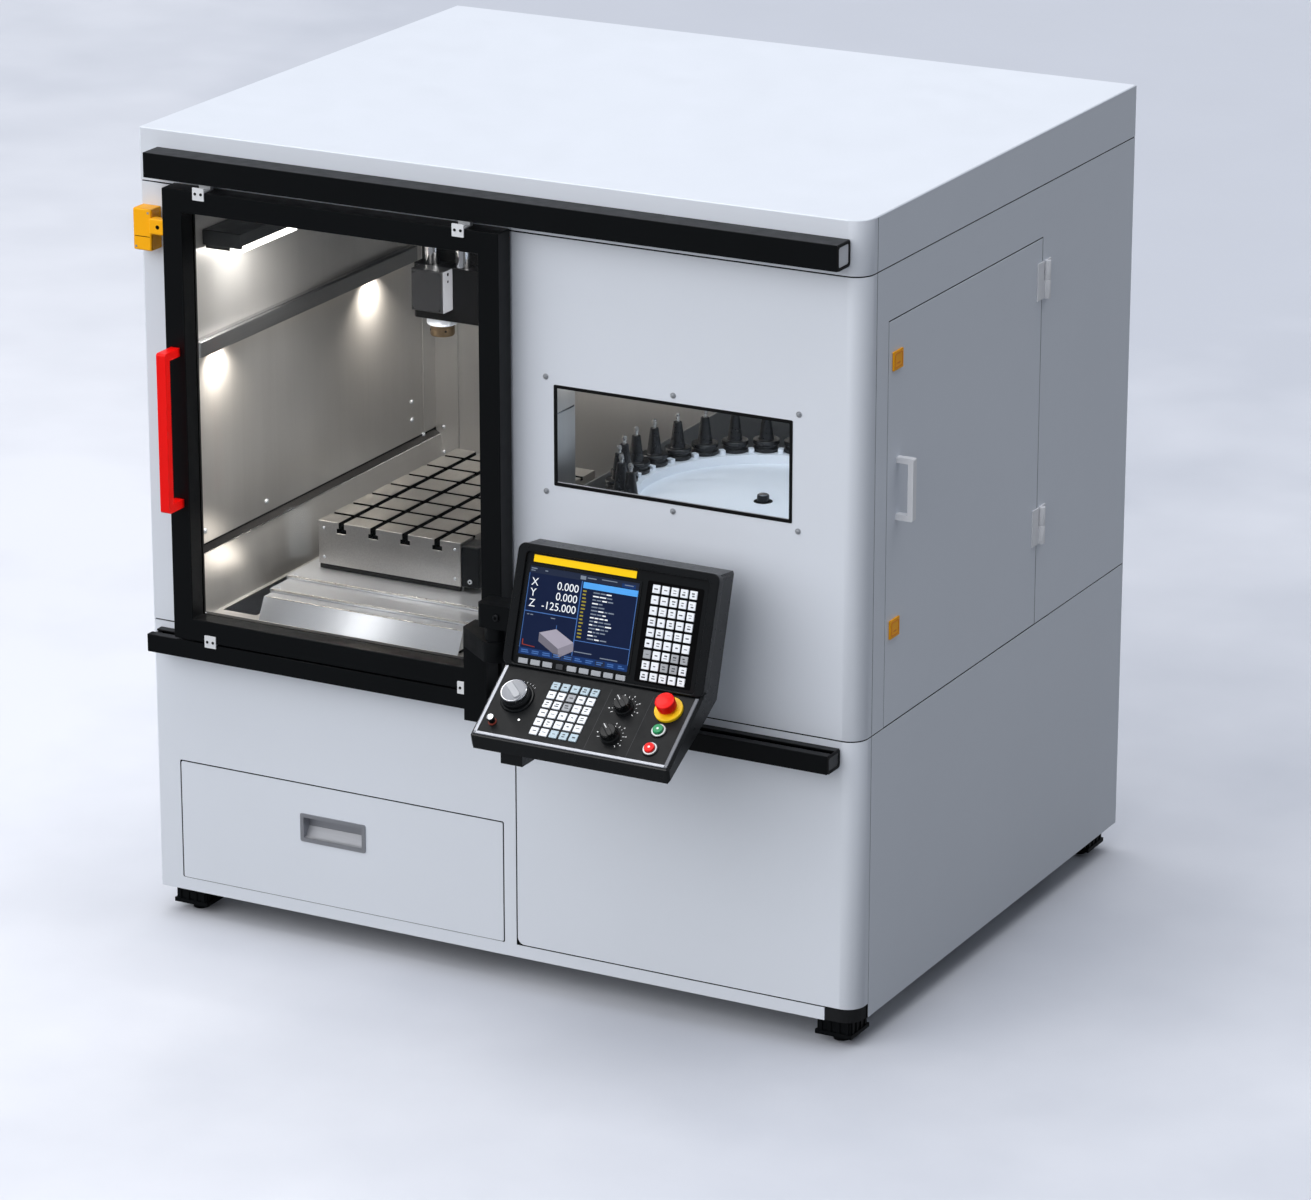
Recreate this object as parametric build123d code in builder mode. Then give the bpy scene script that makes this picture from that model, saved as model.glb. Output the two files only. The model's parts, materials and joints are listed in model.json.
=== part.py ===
from build123d import *
from math import pi
import os

# Enclosed machining centre: sheet-metal cabinet on levelling feet, sliding glazed door,
# swivelling control pendant, moving table with telescopic covers, gantry head and tool magazine.
# Millimetres, +Z up, front towards -Y, origin on the floor below the middle of the whole outline.
# Depths are measured back from the front sheet, insets from the left side, rises from the panel foot.

# Cabinet
body_width = 1690
body_depth = 1330
body_height = 1700
foot_height = 60
sheet = 3
seam = 3
corner_radius = 40
edge_radius = 5
corner_wrap = 54
fascia_height = 115
upper_seam_rise = body_height - fascia_height
lower_seam_rise = 615
disc_rise_share = 0.362
disc_top_rise = lower_seam_rise + disc_rise_share * (upper_seam_rise - lower_seam_rise)
plinth_height = 28
split_share = 0.5284
panel_split_inset = split_share * body_width
plinth_end_margin = 73
plinth_end_inset = body_width - plinth_end_margin
panel_corner_radius = 16
roof_edge = 2
overrun = 10
running_gap = 0.3
bore_gap = 0.05

# Levelling feet
foot_inset = 62
foot_block = 76
foot_block_height = 42
foot_flange = 84
foot_flange_height = 9
foot_pad_radius = 18
foot_pad_height = 16
foot_screw_radius = 12

# Base frame
frame_width = 40
bed_level = 302
cross_width = 120
column_width = 150
column_depth = 170
column_margin = 360
column_insets = (330, body_width - column_margin)
slide_post_depth = 640

# Door rails
rail_depth = 57
rail_wall = 4
rail_slot = 16
upper_rail_stand = 23
upper_rail_rise = upper_seam_rise + upper_rail_stand
upper_rail_height = 54
upper_rail_margin = 35
upper_rail_insets = (45, body_width - upper_rail_margin)
lower_rail_rise = 560
lower_rail_height = 40
lower_rail_margin = 45
lower_rail_insets = (20, body_width - lower_rail_margin)
cap_thickness = 4
cap_gap = 0.2

# Front door
door_inset = 90
door_overlap = 2
door_width = panel_split_inset + door_overlap - door_inset
door_rise = 604
door_lap = 7
door_height = upper_seam_rise + door_lap - door_rise
door_stand = 8
door_depth = 50
door_member = 48
door_opening_end = 38
door_opening_insets = (130, panel_split_inset - door_opening_end)
door_opening_margin = 27
door_opening_rises = (645, upper_seam_rise - door_opening_margin)
glass_thickness = 8
glass_rebate = 10
handle_length = 350
handle_drop = 23
handle_rise = door_rise + (door_height - handle_length) / 2 - handle_drop
handle_width = 22
handle_bar = 18
handle_reach = 58
handle_fillet = 6
hanger_inset = 92
hanger_width = 28
hanger_plate = 3
hanger_lap = 17
hanger_upstand = 10
tongue = 12
shoe_width = 36
shoe_height = 10

# Door interlock
switch_inset = 5
switch_width = 45
switch_depth = 40
switch_drop = 140
switch_rise = upper_seam_rise - switch_drop
switch_height = 90
switch_fillet = 4
key_length = 38
key_depth = 22
key_height = 34
key_lift = 41
key_rise = switch_rise + key_lift
key_set_back = 6

# Tool window
window_margin = 157
window_start = 97
window_insets = (panel_split_inset + window_start, body_width - window_margin)
window_lift = 94
window_height = 214
window_rises = (disc_top_rise + window_lift, disc_top_rise + window_lift + window_height)
window_radius = 10
window_lap = 12
window_thickness = 6

# Chip drawer
drawer_margin = 33
drawer_insets = (60, panel_split_inset - drawer_margin)
drawer_rises = (30, 298)
drawer_depth = 680
tray_wall = 2.5
tray_drop = 24
slide_height = 45
slide_rise = 150
pull_width = 162
pull_shift = 18
pull_inset = (sum(drawer_insets) - pull_width) / 2 - pull_shift
pull_insets = (pull_inset, pull_inset + pull_width)
pull_rises = (168, 232)
pull_depth = 24
pull_wall = 2.5
pull_flange = 6
pull_radius = 4.5

# Side service door
service_depths = (112, 852)
service_margin = 115
service_rise_top = upper_seam_rise - service_margin
stiffener_inset = 45
stiffener_width = 35
stiffener_depth = 16
hinge_drop = 132
hinge_rises = (795, service_rise_top - hinge_drop)
hinge_length = 82
hinge_leaf = 3
hinge_leaf_width = 26
hinge_radius = 7
hinge_pin_radius = 4
hinge_set_back = 13
pad_drop = 105
pad_rises = (800, service_rise_top - pad_drop)
pad_height = 40
pad_width = 44
pad_thickness = 4
pad_set_in = 15
pad_fillet = 1
side_handle_length = 132
side_handle_lift = 11.5
side_handle_rise = (sum(pad_rises) + pad_height - side_handle_length) / 2 + side_handle_lift
side_handle_set_in = 48
side_handle_reach = 38
side_handle_bar = 12
side_handle_width = 16
side_handle_fillet = 4

# Cabin
cabin_inset = 50
rear_bay = 210
cabin_depth = body_depth - rear_bay
cabin_top_drop = 25
cabin_top_rise = upper_seam_rise - cabin_top_drop
partition_stand = 27
partition_inset = panel_split_inset + partition_stand
partition_notch_depth = 210
notch_clearance = 15
back_wall_gap = 5
floor_rise = 612
floor_slot_insets = (100, 185)
floor_slot_margin = 160
floor_slot_depths = (120, cabin_depth - floor_slot_margin)
ledge_rise = 738
ledge_width = 16
ledge_height = 10
guard_slope = 22
lamp_depths = (150, 380)
lamp_drop = 152
lamp_rise = cabin_top_rise - lamp_drop
lamp_height = 42
lamp_reach = 97
lamp_nose = 18
strip_margin = 110
strip_depths = (100, cabin_depth - strip_margin)
strip_drop = 380
strip_rise = cabin_top_rise - strip_drop
strip_height = 35
strip_reach = 22

# Machine bed, rails and table
spindle_inset = 413
spindle_depth = 540
bed_width = 330
bed_waist = 250
bed_margin = 120
bed_depths = (110, cabin_depth - bed_margin)
rear_cross_margin = 150
rear_cross_depth = bed_depths[1] - rear_cross_margin
bed_top_rise = 575
guide_width = 30
guide_height = 28
guide_spread = 190
table_width = 356
table_margin = 220
table_depths = (300, cabin_depth - table_margin)
table_top_rise = 788
table_thickness = 98
slot_pitch = 80
slot_count = 4
slot_neck = 14
slot_neck_depth = 14
slot_head = 24
slot_head_depth = 10
groove_width = 12
groove_depth = 8
groove_count = 7
block_width = 64
block_length = 100
block_bite = 18
block_stand = 75

# Telescopic way covers
cover_sheet = 2.5
cover_step = 8
cover_side_step = 4
cover_width = 494
cover_shift = 40
cover_top_rise = 662
cover_foot_rise = 622
cover_nose_run = 25
cover_depths = (95, 235)
middle_cover_depths = (150, 300)
rear_cover_depths = (225, 375)
cover_post_depth = 310

# Gantry and head
beam_margin = 50
beam_insets = (60, body_width - beam_margin)
beam_stand = 120
beam_depth = cabin_depth - beam_stand
beam_drop = 280
beam_rise = cabin_top_rise - beam_drop
beam_height = 180
cross_guide_width = 24
cross_guide_spread = 120
carriage_width = 220
carriage_plate = 32
carriage_bite = 18
carriage_margin = 5
way_width = 20
way_spread = 120
way_depth = 16
way_drop = 50
way_lift = 220
way_rises = (beam_rise - way_drop, beam_rise + way_lift)
head_width = 170
head_shift = 42
head_front_depth = 490
head_drop = 64
head_rise = beam_rise - head_drop
head_step_height = 120
head_step_rise = head_rise + head_step_height
head_step_run = 40
head_height = 264
head_top_rise = head_rise + head_height
head_belly_depth = 640
head_belly_height = 74
head_belly_rise = head_rise + head_belly_height
head_edge = 6
cover_box_insets = (388, 467)
cover_box_depth = 40
cover_box_lift = 27
cover_box_rise = head_rise + cover_box_lift
cover_box_fillet = 4
cylinder_radius = 18
cylinder_height = 134
cylinder_offsets = (-5, 71)
cylinder_set_back = 20
motor_width = 110
motor_height = 92
motor_depth = (head_front_depth + beam_depth - motor_width) / 2
motor_fillet = 10
spindle_shaft_radius = 20
spindle_shaft_length = 80
collar_radius = 34
collar_height = 22
nose_radius = 27
nose_height = 25
nose_bore_radius = 16
nose_bore_depth = 22

# Tool magazine
magazine_shift = -24
magazine_inset = (partition_inset + body_width) / 2 + magazine_shift
magazine_depth = 370
magazine_front_gap = 15
ring_share = 0.7792
bay_reach = min((body_width - partition_inset) / 2, magazine_depth + magazine_front_gap)
pedestal_radius = 55
pedestal_foot_radius = 75
pedestal_foot_height = 15
disc_thickness = 10
hub_radius = 70
hub_height = 30
rim_height = 20
tool_ring_radius = ring_share * bay_reach
rim_set_in = 4
rim_radius = tool_ring_radius - rim_set_in
rim_width = 34
rim_inner_radius = rim_radius - rim_width
pocket_pitch = 67
pocket_count = int(2 * pi * tool_ring_radius / pocket_pitch)
pocket_radius = 17
filled_share = 0.4
first_tool_share = 0.29
tool_count = int(pocket_count * filled_share)
first_tool_pocket = int(pocket_count * first_tool_share)
tool_nose_radius = 16
tool_nose_height = 55
tool_flange_radius = 29
tool_flange_height = 25
tool_taper_radius = 15.9
tool_taper_tip_radius = 9
tool_taper_height = 55
tool_stud_radius = 5.5
tool_stud_height = 20

# Control pendant
swivel_margin = 42
swivel_inset = panel_split_inset + swivel_margin
pendant_reach = 62
pendant_inset = swivel_inset + pendant_reach
pendant_width = 453
pendant_stand = 150
pendant_rise = 979
face_lean = 75
face_drop = 233
console_reach = 147
console_drop = 108
lip_height = 30
lip_rake = 8
knee_run = 22
knee_drop = 52
case_depth = 66
case_top_drop = 8
pendant_edge = 5
bracket_overhang = 30
bracket_inset = swivel_inset - bracket_overhang
bracket_depth = 56
bracket_rise = 795
bracket_height = 51
bracket_radius = 10
swivel_stand = 150
arm_rise = 722
arm_height = 43
arm_end_radius = 32
post_reach = 99
post_width = 54
post_insets = (swivel_inset - post_reach, swivel_inset - post_reach + post_width)
post_depth = 50
post_clear = 64
post_foot_rise = 560
post_foot_height = 40
swivel_boss_radius = 24
swivel_pin_radius = 12
swivel_pin_height = 36
port_box_inset = 60
port_box_width = 50
port_box_depth = 50
port_box_height = 48
port_box_stand = 300
port_box_rise = 580

# Pendant controls, placed by shares of the console or screen face
key_height_on_face = 3
screen_key_column_pitch = 21
screen_key_row_pitch = 22
screen_key_columns = 5
screen_key_rows = 9
screen_key_size = 17
screen_key_across_share = 0.795
screen_key_down_share = 0.547
soft_key_count = 9
soft_key_pitch = 28
soft_key_size = 20
soft_key_across_share = 0.341
soft_key_down_share = 0.955
console_key_pitch = 22.5
console_key_columns = 5
console_key_rows = 6
console_key_size = 18
console_key_across_share = 0.398
console_key_down_share = 0.5
dial_shares = (0.145, 0.43)
dial_radius = 32
dial_height = 26
dial_base_radius = 36
dial_base_height = 6
selector_across_share = 0.664
selector_down_shares = (0.31, 0.70)
selector_radius = 15
selector_height = 22
selector_base_radius = 20
selector_base_height = 4
stop_shares = (0.876, 0.24)
stop_collar_radius = 30
stop_collar_height = 8
stop_head_radius = 20
stop_head_height = 22
stop_neck_radius = 12
stop_edge = 5
stop_travel = 6
push_across_share = 0.873
push_down_shares = (0.52, 0.77)
push_radius = 11
push_collar_radius = 15
push_collar_height = 5
push_stand = 6
stem_radius = 6
stem_depth = 18
well_gap = 0.5
well_depth = 26

# Places shared by the pieces
side_reach = side_handle_reach
front_reach = pendant_stand + face_lean + console_reach
left = -(body_width + side_reach) / 2
right = left + body_width
front = front_reach - (body_depth + front_reach) / 2
back = front + body_depth
foot = foot_height
top = foot + body_height
middle_x = (left + right) / 2
middle_y = (front + back) / 2
upper_seam = foot + upper_seam_rise
lower_seam = foot + lower_seam_rise
panel_split = left + panel_split_inset
inner_left = left + sheet
inner_right = right - sheet
inner_front = front + sheet
inner_back = back - sheet
door_front = front - door_stand - door_depth
rail_front = front - rail_depth
bed_top = foot + bed_level + frame_width
spindle_x = left + spindle_inset
cover_x = spindle_x + cover_shift
head_x = spindle_x + head_shift
spindle_y = front + spindle_depth
magazine_x = left + magazine_inset
magazine_y = front + magazine_depth


def span(x_pair, y_pair, z_pair, mode=Mode.ADD):
    """A block between two values on each axis, in the piece under construction."""
    with Locations((sum(x_pair) / 2, sum(y_pair) / 2, sum(z_pair) / 2)):
        Box(x_pair[1] - x_pair[0], y_pair[1] - y_pair[0], z_pair[1] - z_pair[0], mode=mode)


def wall_plan(near, far):
    """Plan of the outer sheet between two depths, with its rounded front corners."""
    with BuildSketch() as plan:
        with Locations((middle_x, middle_y)):
            Rectangle(body_width, body_depth)
        fillet(plan.vertices().group_by(Axis.Y)[0].sort_by(Axis.X)[0], edge_radius)
        fillet(plan.vertices().group_by(Axis.Y)[0].sort_by(Axis.X)[-1], corner_radius)
        offset(amount=-sheet, mode=Mode.SUBTRACT)
        with Locations((middle_x, (near + far) / 2)):
            Rectangle(body_width, far - near, mode=Mode.INTERSECT)
    return plan.sketch


def frame_plan():
    """Plan of one ring of the base frame, close inside the outer sheet."""
    with BuildSketch() as plan:
        with Locations((middle_x, middle_y)):
            Rectangle(body_width - 2 * sheet, body_depth - 2 * sheet)
        fillet(plan.vertices().group_by(Axis.Y)[0].sort_by(Axis.X)[0], edge_radius - sheet)
        fillet(plan.vertices().group_by(Axis.Y)[0].sort_by(Axis.X)[-1], corner_radius - sheet)
        with Locations((middle_x, middle_y)):
            Rectangle(
                body_width - 2 * sheet - 2 * frame_width,
                body_depth - 2 * sheet - 2 * frame_width,
                mode=Mode.SUBTRACT,
            )
    return plan.sketch


def front_field(insets, rises, radius, mode=Mode.ADD):
    """Rounded outline of a panel or an opening, on a sketch that faces the front."""
    with Locations((left + sum(insets) / 2, foot + sum(rises) / 2)):
        RectangleRounded(insets[1] - insets[0], rises[1] - rises[0], radius, mode=mode)


front_plan = wall_plan(front, front + corner_wrap)
frame_ring = frame_plan()
facing_front = Plane.XZ.offset(-front)

os.makedirs("parts", exist_ok=True)

# Levelling feet
with BuildPart() as levelling_feet:
    with Locations((middle_x, middle_y, 0)):
        with GridLocations(body_width - 2 * foot_inset, body_depth - 2 * foot_inset, 2, 2):
            Cylinder(foot_pad_radius, foot_pad_height, align=(Align.CENTER, Align.CENTER, Align.MIN))
            Cylinder(foot_screw_radius, foot_height, align=(Align.CENTER, Align.CENTER, Align.MIN))
    with Locations((middle_x, middle_y, foot - foot_block_height)):
        with GridLocations(body_width - 2 * foot_inset, body_depth - 2 * foot_inset, 2, 2):
            Box(foot_block, foot_block, foot_block_height, align=(Align.CENTER, Align.CENTER, Align.MIN))
            Box(foot_flange, foot_flange, foot_flange_height, align=(Align.CENTER, Align.CENTER, Align.MIN))
levelling_feet.part.label = "levelling_feet"
export_step(levelling_feet.part, "parts/levelling_feet.step")

# Base frame: rings behind the seams, corner posts, cross members and the two rear columns
with BuildPart() as base_frame:
    with BuildSketch(Plane.XY.offset(foot)):
        add(frame_ring)
    extrude(amount=plinth_height)
    for level in (foot + bed_level, lower_seam - frame_width / 2, upper_seam - frame_width / 2):
        with BuildSketch(Plane.XY.offset(level)):
            add(frame_ring)
        extrude(amount=frame_width)
    with BuildSketch(Plane.XY.offset(foot)):
        with Locations((middle_x, middle_y)):
            with GridLocations(
                body_width - 2 * sheet - frame_width, body_depth - 2 * sheet - frame_width, 2, 2
            ):
                Rectangle(frame_width, frame_width)
        add(frame_ring, mode=Mode.INTERSECT)
    extrude(amount=upper_seam_rise)
    for depth in (magazine_depth, rear_cross_depth, cabin_depth + sheet + column_depth / 2):
        span(
            (inner_left, inner_right),
            (front + depth - cross_width / 2, front + depth + cross_width / 2),
            (foot + bed_level, bed_top),
        )
    for inset in column_insets:
        span(
            (left + inset - column_width / 2, left + inset + column_width / 2),
            (front + cabin_depth + sheet, front + cabin_depth + sheet + column_depth),
            (foot + bed_level, foot + beam_rise + beam_height),
        )
    inner_post_x = left + drawer_insets[1] + frame_width / 2
    rear_post_y = front + slide_post_depth
    for post_x, post_y in (
        (inner_post_x, inner_front),
        (inner_post_x, rear_post_y),
        (inner_left, rear_post_y),
    ):
        span((post_x, post_x + frame_width), (post_y, post_y + frame_width), (foot, foot + bed_level))
    span(
        (inner_post_x, inner_post_x + frame_width),
        (inner_front, rear_post_y + frame_width),
        (foot + bed_level, bed_top),
    )
base_frame.part.label = "base_frame"
export_step(base_frame.part, "parts/base_frame.step")

# Roof: a flat top with the rounded front corner and three folded skirts
with BuildPart() as roof_panel:
    with BuildSketch(Plane.XY.offset(top - sheet)) as roof_plan:
        with Locations((middle_x, middle_y)):
            Rectangle(body_width, body_depth)
        fillet(roof_plan.vertices().group_by(Axis.Y)[0].sort_by(Axis.X)[0], edge_radius)
        fillet(roof_plan.vertices().group_by(Axis.Y)[0].sort_by(Axis.X)[-1], corner_radius)
    extrude(amount=sheet)
    chamfer(roof_panel.edges().group_by(Axis.Z)[-1], roof_edge)
    with BuildSketch(Plane.XY.offset(upper_seam + seam / 2)):
        add(wall_plan(front + corner_wrap + seam, back))
    extrude(amount=top - sheet - upper_seam - seam / 2)
roof_panel.part.label = "roof_panel"
export_step(roof_panel.part, "parts/roof_panel.step")

# Fascia behind the upper rail
with BuildPart() as front_fascia:
    with BuildSketch(Plane.XY.offset(upper_seam + seam / 2)):
        add(front_plan)
    extrude(amount=top - sheet - upper_seam - seam / 2)
front_fascia.part.label = "front_fascia"
export_step(front_fascia.part, "parts/front_fascia.step")

# Upper front panel with the door opening and the tool window
with BuildPart() as front_panel:
    with BuildSketch(Plane.XY.offset(lower_seam + seam / 2)):
        add(front_plan)
    extrude(amount=upper_seam - lower_seam - seam)
    with BuildSketch(facing_front):
        front_field(door_opening_insets, door_opening_rises, window_radius)
        front_field(window_insets, window_rises, window_radius)
    extrude(amount=-sheet - overrun, mode=Mode.SUBTRACT)
front_panel.part.label = "front_panel"
export_step(front_panel.part, "parts/front_panel.step")

# Lower front panel: left field with the drawer opening, and the plinth strip below the corner panel
with BuildPart() as lower_front_panel:
    with BuildSketch(Plane.XY.offset(foot)):
        add(front_plan)
    extrude(amount=lower_seam - seam / 2 - foot)
    span(
        (panel_split - seam / 2, right + overrun),
        (front - overrun, front + corner_wrap + overrun),
        (foot + plinth_height, lower_seam),
        mode=Mode.SUBTRACT,
    )
    span(
        (left + plinth_end_inset, right + overrun),
        (front - overrun, front + corner_wrap + overrun),
        (foot - overrun, lower_seam),
        mode=Mode.SUBTRACT,
    )
    with BuildSketch(facing_front):
        front_field(
            (drawer_insets[0] - seam, drawer_insets[1] + seam),
            (drawer_rises[0] - seam / 2, drawer_rises[1] + seam),
            panel_corner_radius / 4,
        )
    extrude(amount=-sheet - overrun, mode=Mode.SUBTRACT)
lower_front_panel.part.label = "lower_front_panel"
export_step(lower_front_panel.part, "parts/lower_front_panel.step")

# Corner panel: lower right front, wrapped round the rounded corner
with BuildPart() as corner_panel:
    with BuildSketch(Plane.XY.offset(foot + plinth_height + seam)):
        add(front_plan)
    extrude(amount=lower_seam - seam / 2 - foot - plinth_height - seam)
    span(
        (left - overrun, panel_split + seam / 2),
        (front - overrun, front + corner_wrap + overrun),
        (foot, lower_seam + overrun),
        mode=Mode.SUBTRACT,
    )
    lower_left = corner_panel.edges().filter_by(Axis.Y).group_by(Axis.X)[0].sort_by(Axis.Z)[0]
    fillet(lower_left, panel_corner_radius)
corner_panel.part.label = "corner_panel"
export_step(corner_panel.part, "parts/corner_panel.step")

side_near = front + corner_wrap + seam

# Left side panel
with BuildPart() as left_side_panel:
    span((left, inner_left), (side_near, inner_back), (foot, upper_seam - seam / 2))
left_side_panel.part.label = "left_side_panel"
export_step(left_side_panel.part, "parts/left_side_panel.step")

# Right upper side panel, open for the service door
with BuildPart() as right_side_panel:
    span((inner_right, right), (side_near, inner_back), (lower_seam + seam / 2, upper_seam - seam / 2))
    span(
        (inner_right - overrun, right + overrun),
        (front + service_depths[0] - seam, front + service_depths[1] + seam),
        (lower_seam - overrun, foot + service_rise_top + seam),
        mode=Mode.SUBTRACT,
    )
right_side_panel.part.label = "right_side_panel"
export_step(right_side_panel.part, "parts/right_side_panel.step")

# Right lower side panel
with BuildPart() as right_lower_panel:
    span((inner_right, right), (side_near, inner_back), (foot, lower_seam - seam / 2))
right_lower_panel.part.label = "right_lower_panel"
export_step(right_lower_panel.part, "parts/right_lower_panel.step")

# Back panel
with BuildPart() as back_panel:
    span((left, right), (inner_back, back), (foot, upper_seam - seam / 2))
back_panel.part.label = "back_panel"
export_step(back_panel.part, "parts/back_panel.step")

# Pane of the tool window, behind the front panel
with BuildPart() as tool_window:
    with BuildSketch(Plane.XZ.offset(-inner_front)):
        front_field(
            (window_insets[0] - window_lap, window_insets[1] + window_lap),
            (window_rises[0] - window_lap, window_rises[1] + window_lap),
            window_radius,
        )
    extrude(amount=-window_thickness)
tool_window.part.label = "tool_window"
export_step(tool_window.part, "parts/tool_window.step")


def rail_section(rise, height, slot_side):
    """Slotted tube section of a door rail, on a sketch that faces the side."""
    with Locations((front - rail_depth / 2, foot + rise + height / 2)):
        Rectangle(rail_depth, height)
        Rectangle(rail_depth - 2 * rail_wall, height - 2 * rail_wall, mode=Mode.SUBTRACT)
    with Locations((front - rail_depth / 2, foot + rise + height / 2 + slot_side * height / 2)):
        Rectangle(rail_slot, height, mode=Mode.SUBTRACT)


# Upper rail, slotted below
with BuildPart() as upper_rail:
    with BuildSketch(Plane.YZ.offset(left + upper_rail_insets[0])):
        rail_section(upper_rail_rise, upper_rail_height, -1)
    extrude(amount=upper_rail_insets[1] - upper_rail_insets[0])
upper_rail.part.label = "upper_rail"
export_step(upper_rail.part, "parts/upper_rail.step")

# Lower rail, slotted above
with BuildPart() as lower_rail:
    with BuildSketch(Plane.YZ.offset(left + lower_rail_insets[0])):
        rail_section(lower_rail_rise, lower_rail_height, 1)
    extrude(amount=lower_rail_insets[1] - lower_rail_insets[0])
lower_rail.part.label = "lower_rail"
export_step(lower_rail.part, "parts/lower_rail.step")

# End caps in both ends of both rails
with BuildPart() as rail_end_caps:
    for insets, rise, height in (
        (upper_rail_insets, upper_rail_rise, upper_rail_height),
        (lower_rail_insets, lower_rail_rise, lower_rail_height),
    ):
        for start in (insets[0], insets[1] - cap_thickness):
            span(
                (left + start, left + start + cap_thickness),
                (rail_front + rail_wall + cap_gap, front - rail_wall - cap_gap),
                (foot + rise + rail_wall + cap_gap, foot + rise + height - rail_wall - cap_gap),
            )
rail_end_caps.part.label = "rail_end_caps"
export_step(rail_end_caps.part, "parts/rail_end_caps.step")

door_middle_x = left + door_inset + door_width / 2
door_foot = foot + door_rise
door_top = door_foot + door_height
door_middle_z = (door_foot + door_top) / 2
door_back = front - door_stand
glass_width = door_width - 2 * door_member + 2 * glass_rebate
glass_height = door_height - 2 * door_member + 2 * glass_rebate

# Door frame with a rebate for the glass at its back
with BuildPart() as door_frame:
    with BuildSketch(Plane.XZ.offset(-door_front)):
        with Locations((door_middle_x, door_middle_z)):
            Rectangle(door_width, door_height)
            Rectangle(door_width - 2 * door_member, door_height - 2 * door_member, mode=Mode.SUBTRACT)
    extrude(amount=-door_depth)
    with BuildSketch(Plane.XZ.offset(-door_back)):
        with Locations((door_middle_x, door_middle_z)):
            Rectangle(glass_width, glass_height)
    extrude(amount=glass_thickness, mode=Mode.SUBTRACT)
door_frame.part.label = "door_frame"
export_step(door_frame.part, "parts/door_frame.step")

# Door glass
with BuildPart() as door_glass:
    with BuildSketch(Plane.XZ.offset(-door_back)):
        with Locations((door_middle_x, door_middle_z)):
            Rectangle(glass_width - 2 * running_gap, glass_height - 2 * running_gap)
    extrude(amount=glass_thickness)
door_glass.part.label = "door_glass"
export_step(door_glass.part, "parts/door_glass.step")


def grip_profile(face, reach, rise, length, bar):
    """Side view of a U-shaped grip that stands out from a face along the sketch's first axis."""
    with Locations((face + reach / 2, foot + rise + length / 2)):
        Rectangle(abs(reach), length)
    inner_reach = reach - bar if reach > 0 else reach + bar
    with Locations((face + inner_reach / 2, foot + rise + length / 2)):
        Rectangle(abs(inner_reach), length - 2 * bar, mode=Mode.SUBTRACT)


# Door handle on the left stile
with BuildPart() as door_handle:
    with BuildSketch(Plane.YZ.offset(left + door_inset + door_member / 2 - handle_width / 2)):
        grip_profile(door_front, -handle_reach, handle_rise, handle_length, handle_bar)
    extrude(amount=handle_width)
    fillet(door_handle.edges().filter_by(Axis.X).group_by(Axis.Y)[0], handle_fillet)
door_handle.part.label = "door_handle"
export_step(door_handle.part, "parts/door_handle.step")

tongue_front = front - rail_depth / 2 - tongue / 2
upper_shoe_z = foot + upper_rail_rise + rail_wall + running_gap
lower_shoe_z = foot + lower_rail_rise + lower_rail_height - rail_wall - running_gap

# Hangers in the upper rail and guides in the lower rail
with BuildPart() as door_hangers:
    for hanger_x in (
        left + door_inset + hanger_inset,
        left + door_inset + door_width - hanger_inset,
    ):
        with BuildSketch(Plane.YZ.offset(hanger_x - hanger_width / 2)):
            with BuildLine():
                Polyline(
                    (door_front, door_top - hanger_lap),
                    (door_front, door_top),
                    (tongue_front + tongue, door_top),
                    (tongue_front + tongue, upper_shoe_z),
                    (tongue_front + tongue / 2 + shoe_width / 2, upper_shoe_z),
                    (tongue_front + tongue / 2 + shoe_width / 2, upper_shoe_z + shoe_height),
                    (tongue_front + tongue / 2 - shoe_width / 2, upper_shoe_z + shoe_height),
                    (tongue_front + tongue / 2 - shoe_width / 2, upper_shoe_z),
                    (tongue_front, upper_shoe_z),
                    (tongue_front, door_top + hanger_plate),
                    (door_front, door_top + hanger_plate),
                    (door_front, door_top + hanger_upstand),
                    (door_front - hanger_plate, door_top + hanger_upstand),
                    (door_front - hanger_plate, door_top - hanger_lap),
                    close=True,
                )
            make_face()
            with BuildLine():
                Polyline(
                    (door_front, door_foot + hanger_lap),
                    (door_front, door_foot),
                    (tongue_front + tongue, door_foot),
                    (tongue_front + tongue, lower_shoe_z - shoe_height),
                    (tongue_front, lower_shoe_z - shoe_height),
                    (tongue_front, door_foot - hanger_plate),
                    (door_front, door_foot - hanger_plate),
                    (door_front, door_foot - hanger_upstand),
                    (door_front - hanger_plate, door_foot - hanger_upstand),
                    (door_front - hanger_plate, door_foot + hanger_lap),
                    close=True,
                )
            make_face()
        extrude(amount=hanger_width)
door_hangers.part.label = "door_hangers"
export_step(door_hangers.part, "parts/door_hangers.step")

# Interlock switch on the front panel
with BuildPart() as interlock_switch:
    span(
        (left + switch_inset, left + switch_inset + switch_width),
        (front - switch_depth, front),
        (foot + switch_rise, foot + switch_rise + switch_height),
    )
    fillet(interlock_switch.faces().sort_by(Axis.Y)[0].edges(), switch_fillet)
interlock_switch.part.label = "interlock_switch"
export_step(interlock_switch.part, "parts/interlock_switch.step")

# Interlock key on the door's edge
with BuildPart() as interlock_key:
    span(
        (left + door_inset - key_length, left + door_inset),
        (door_front + key_set_back, door_front + key_set_back + key_depth),
        (foot + key_rise, foot + key_rise + key_height),
    )
interlock_key.part.label = "interlock_key"
export_step(interlock_key.part, "parts/interlock_key.step")

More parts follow.
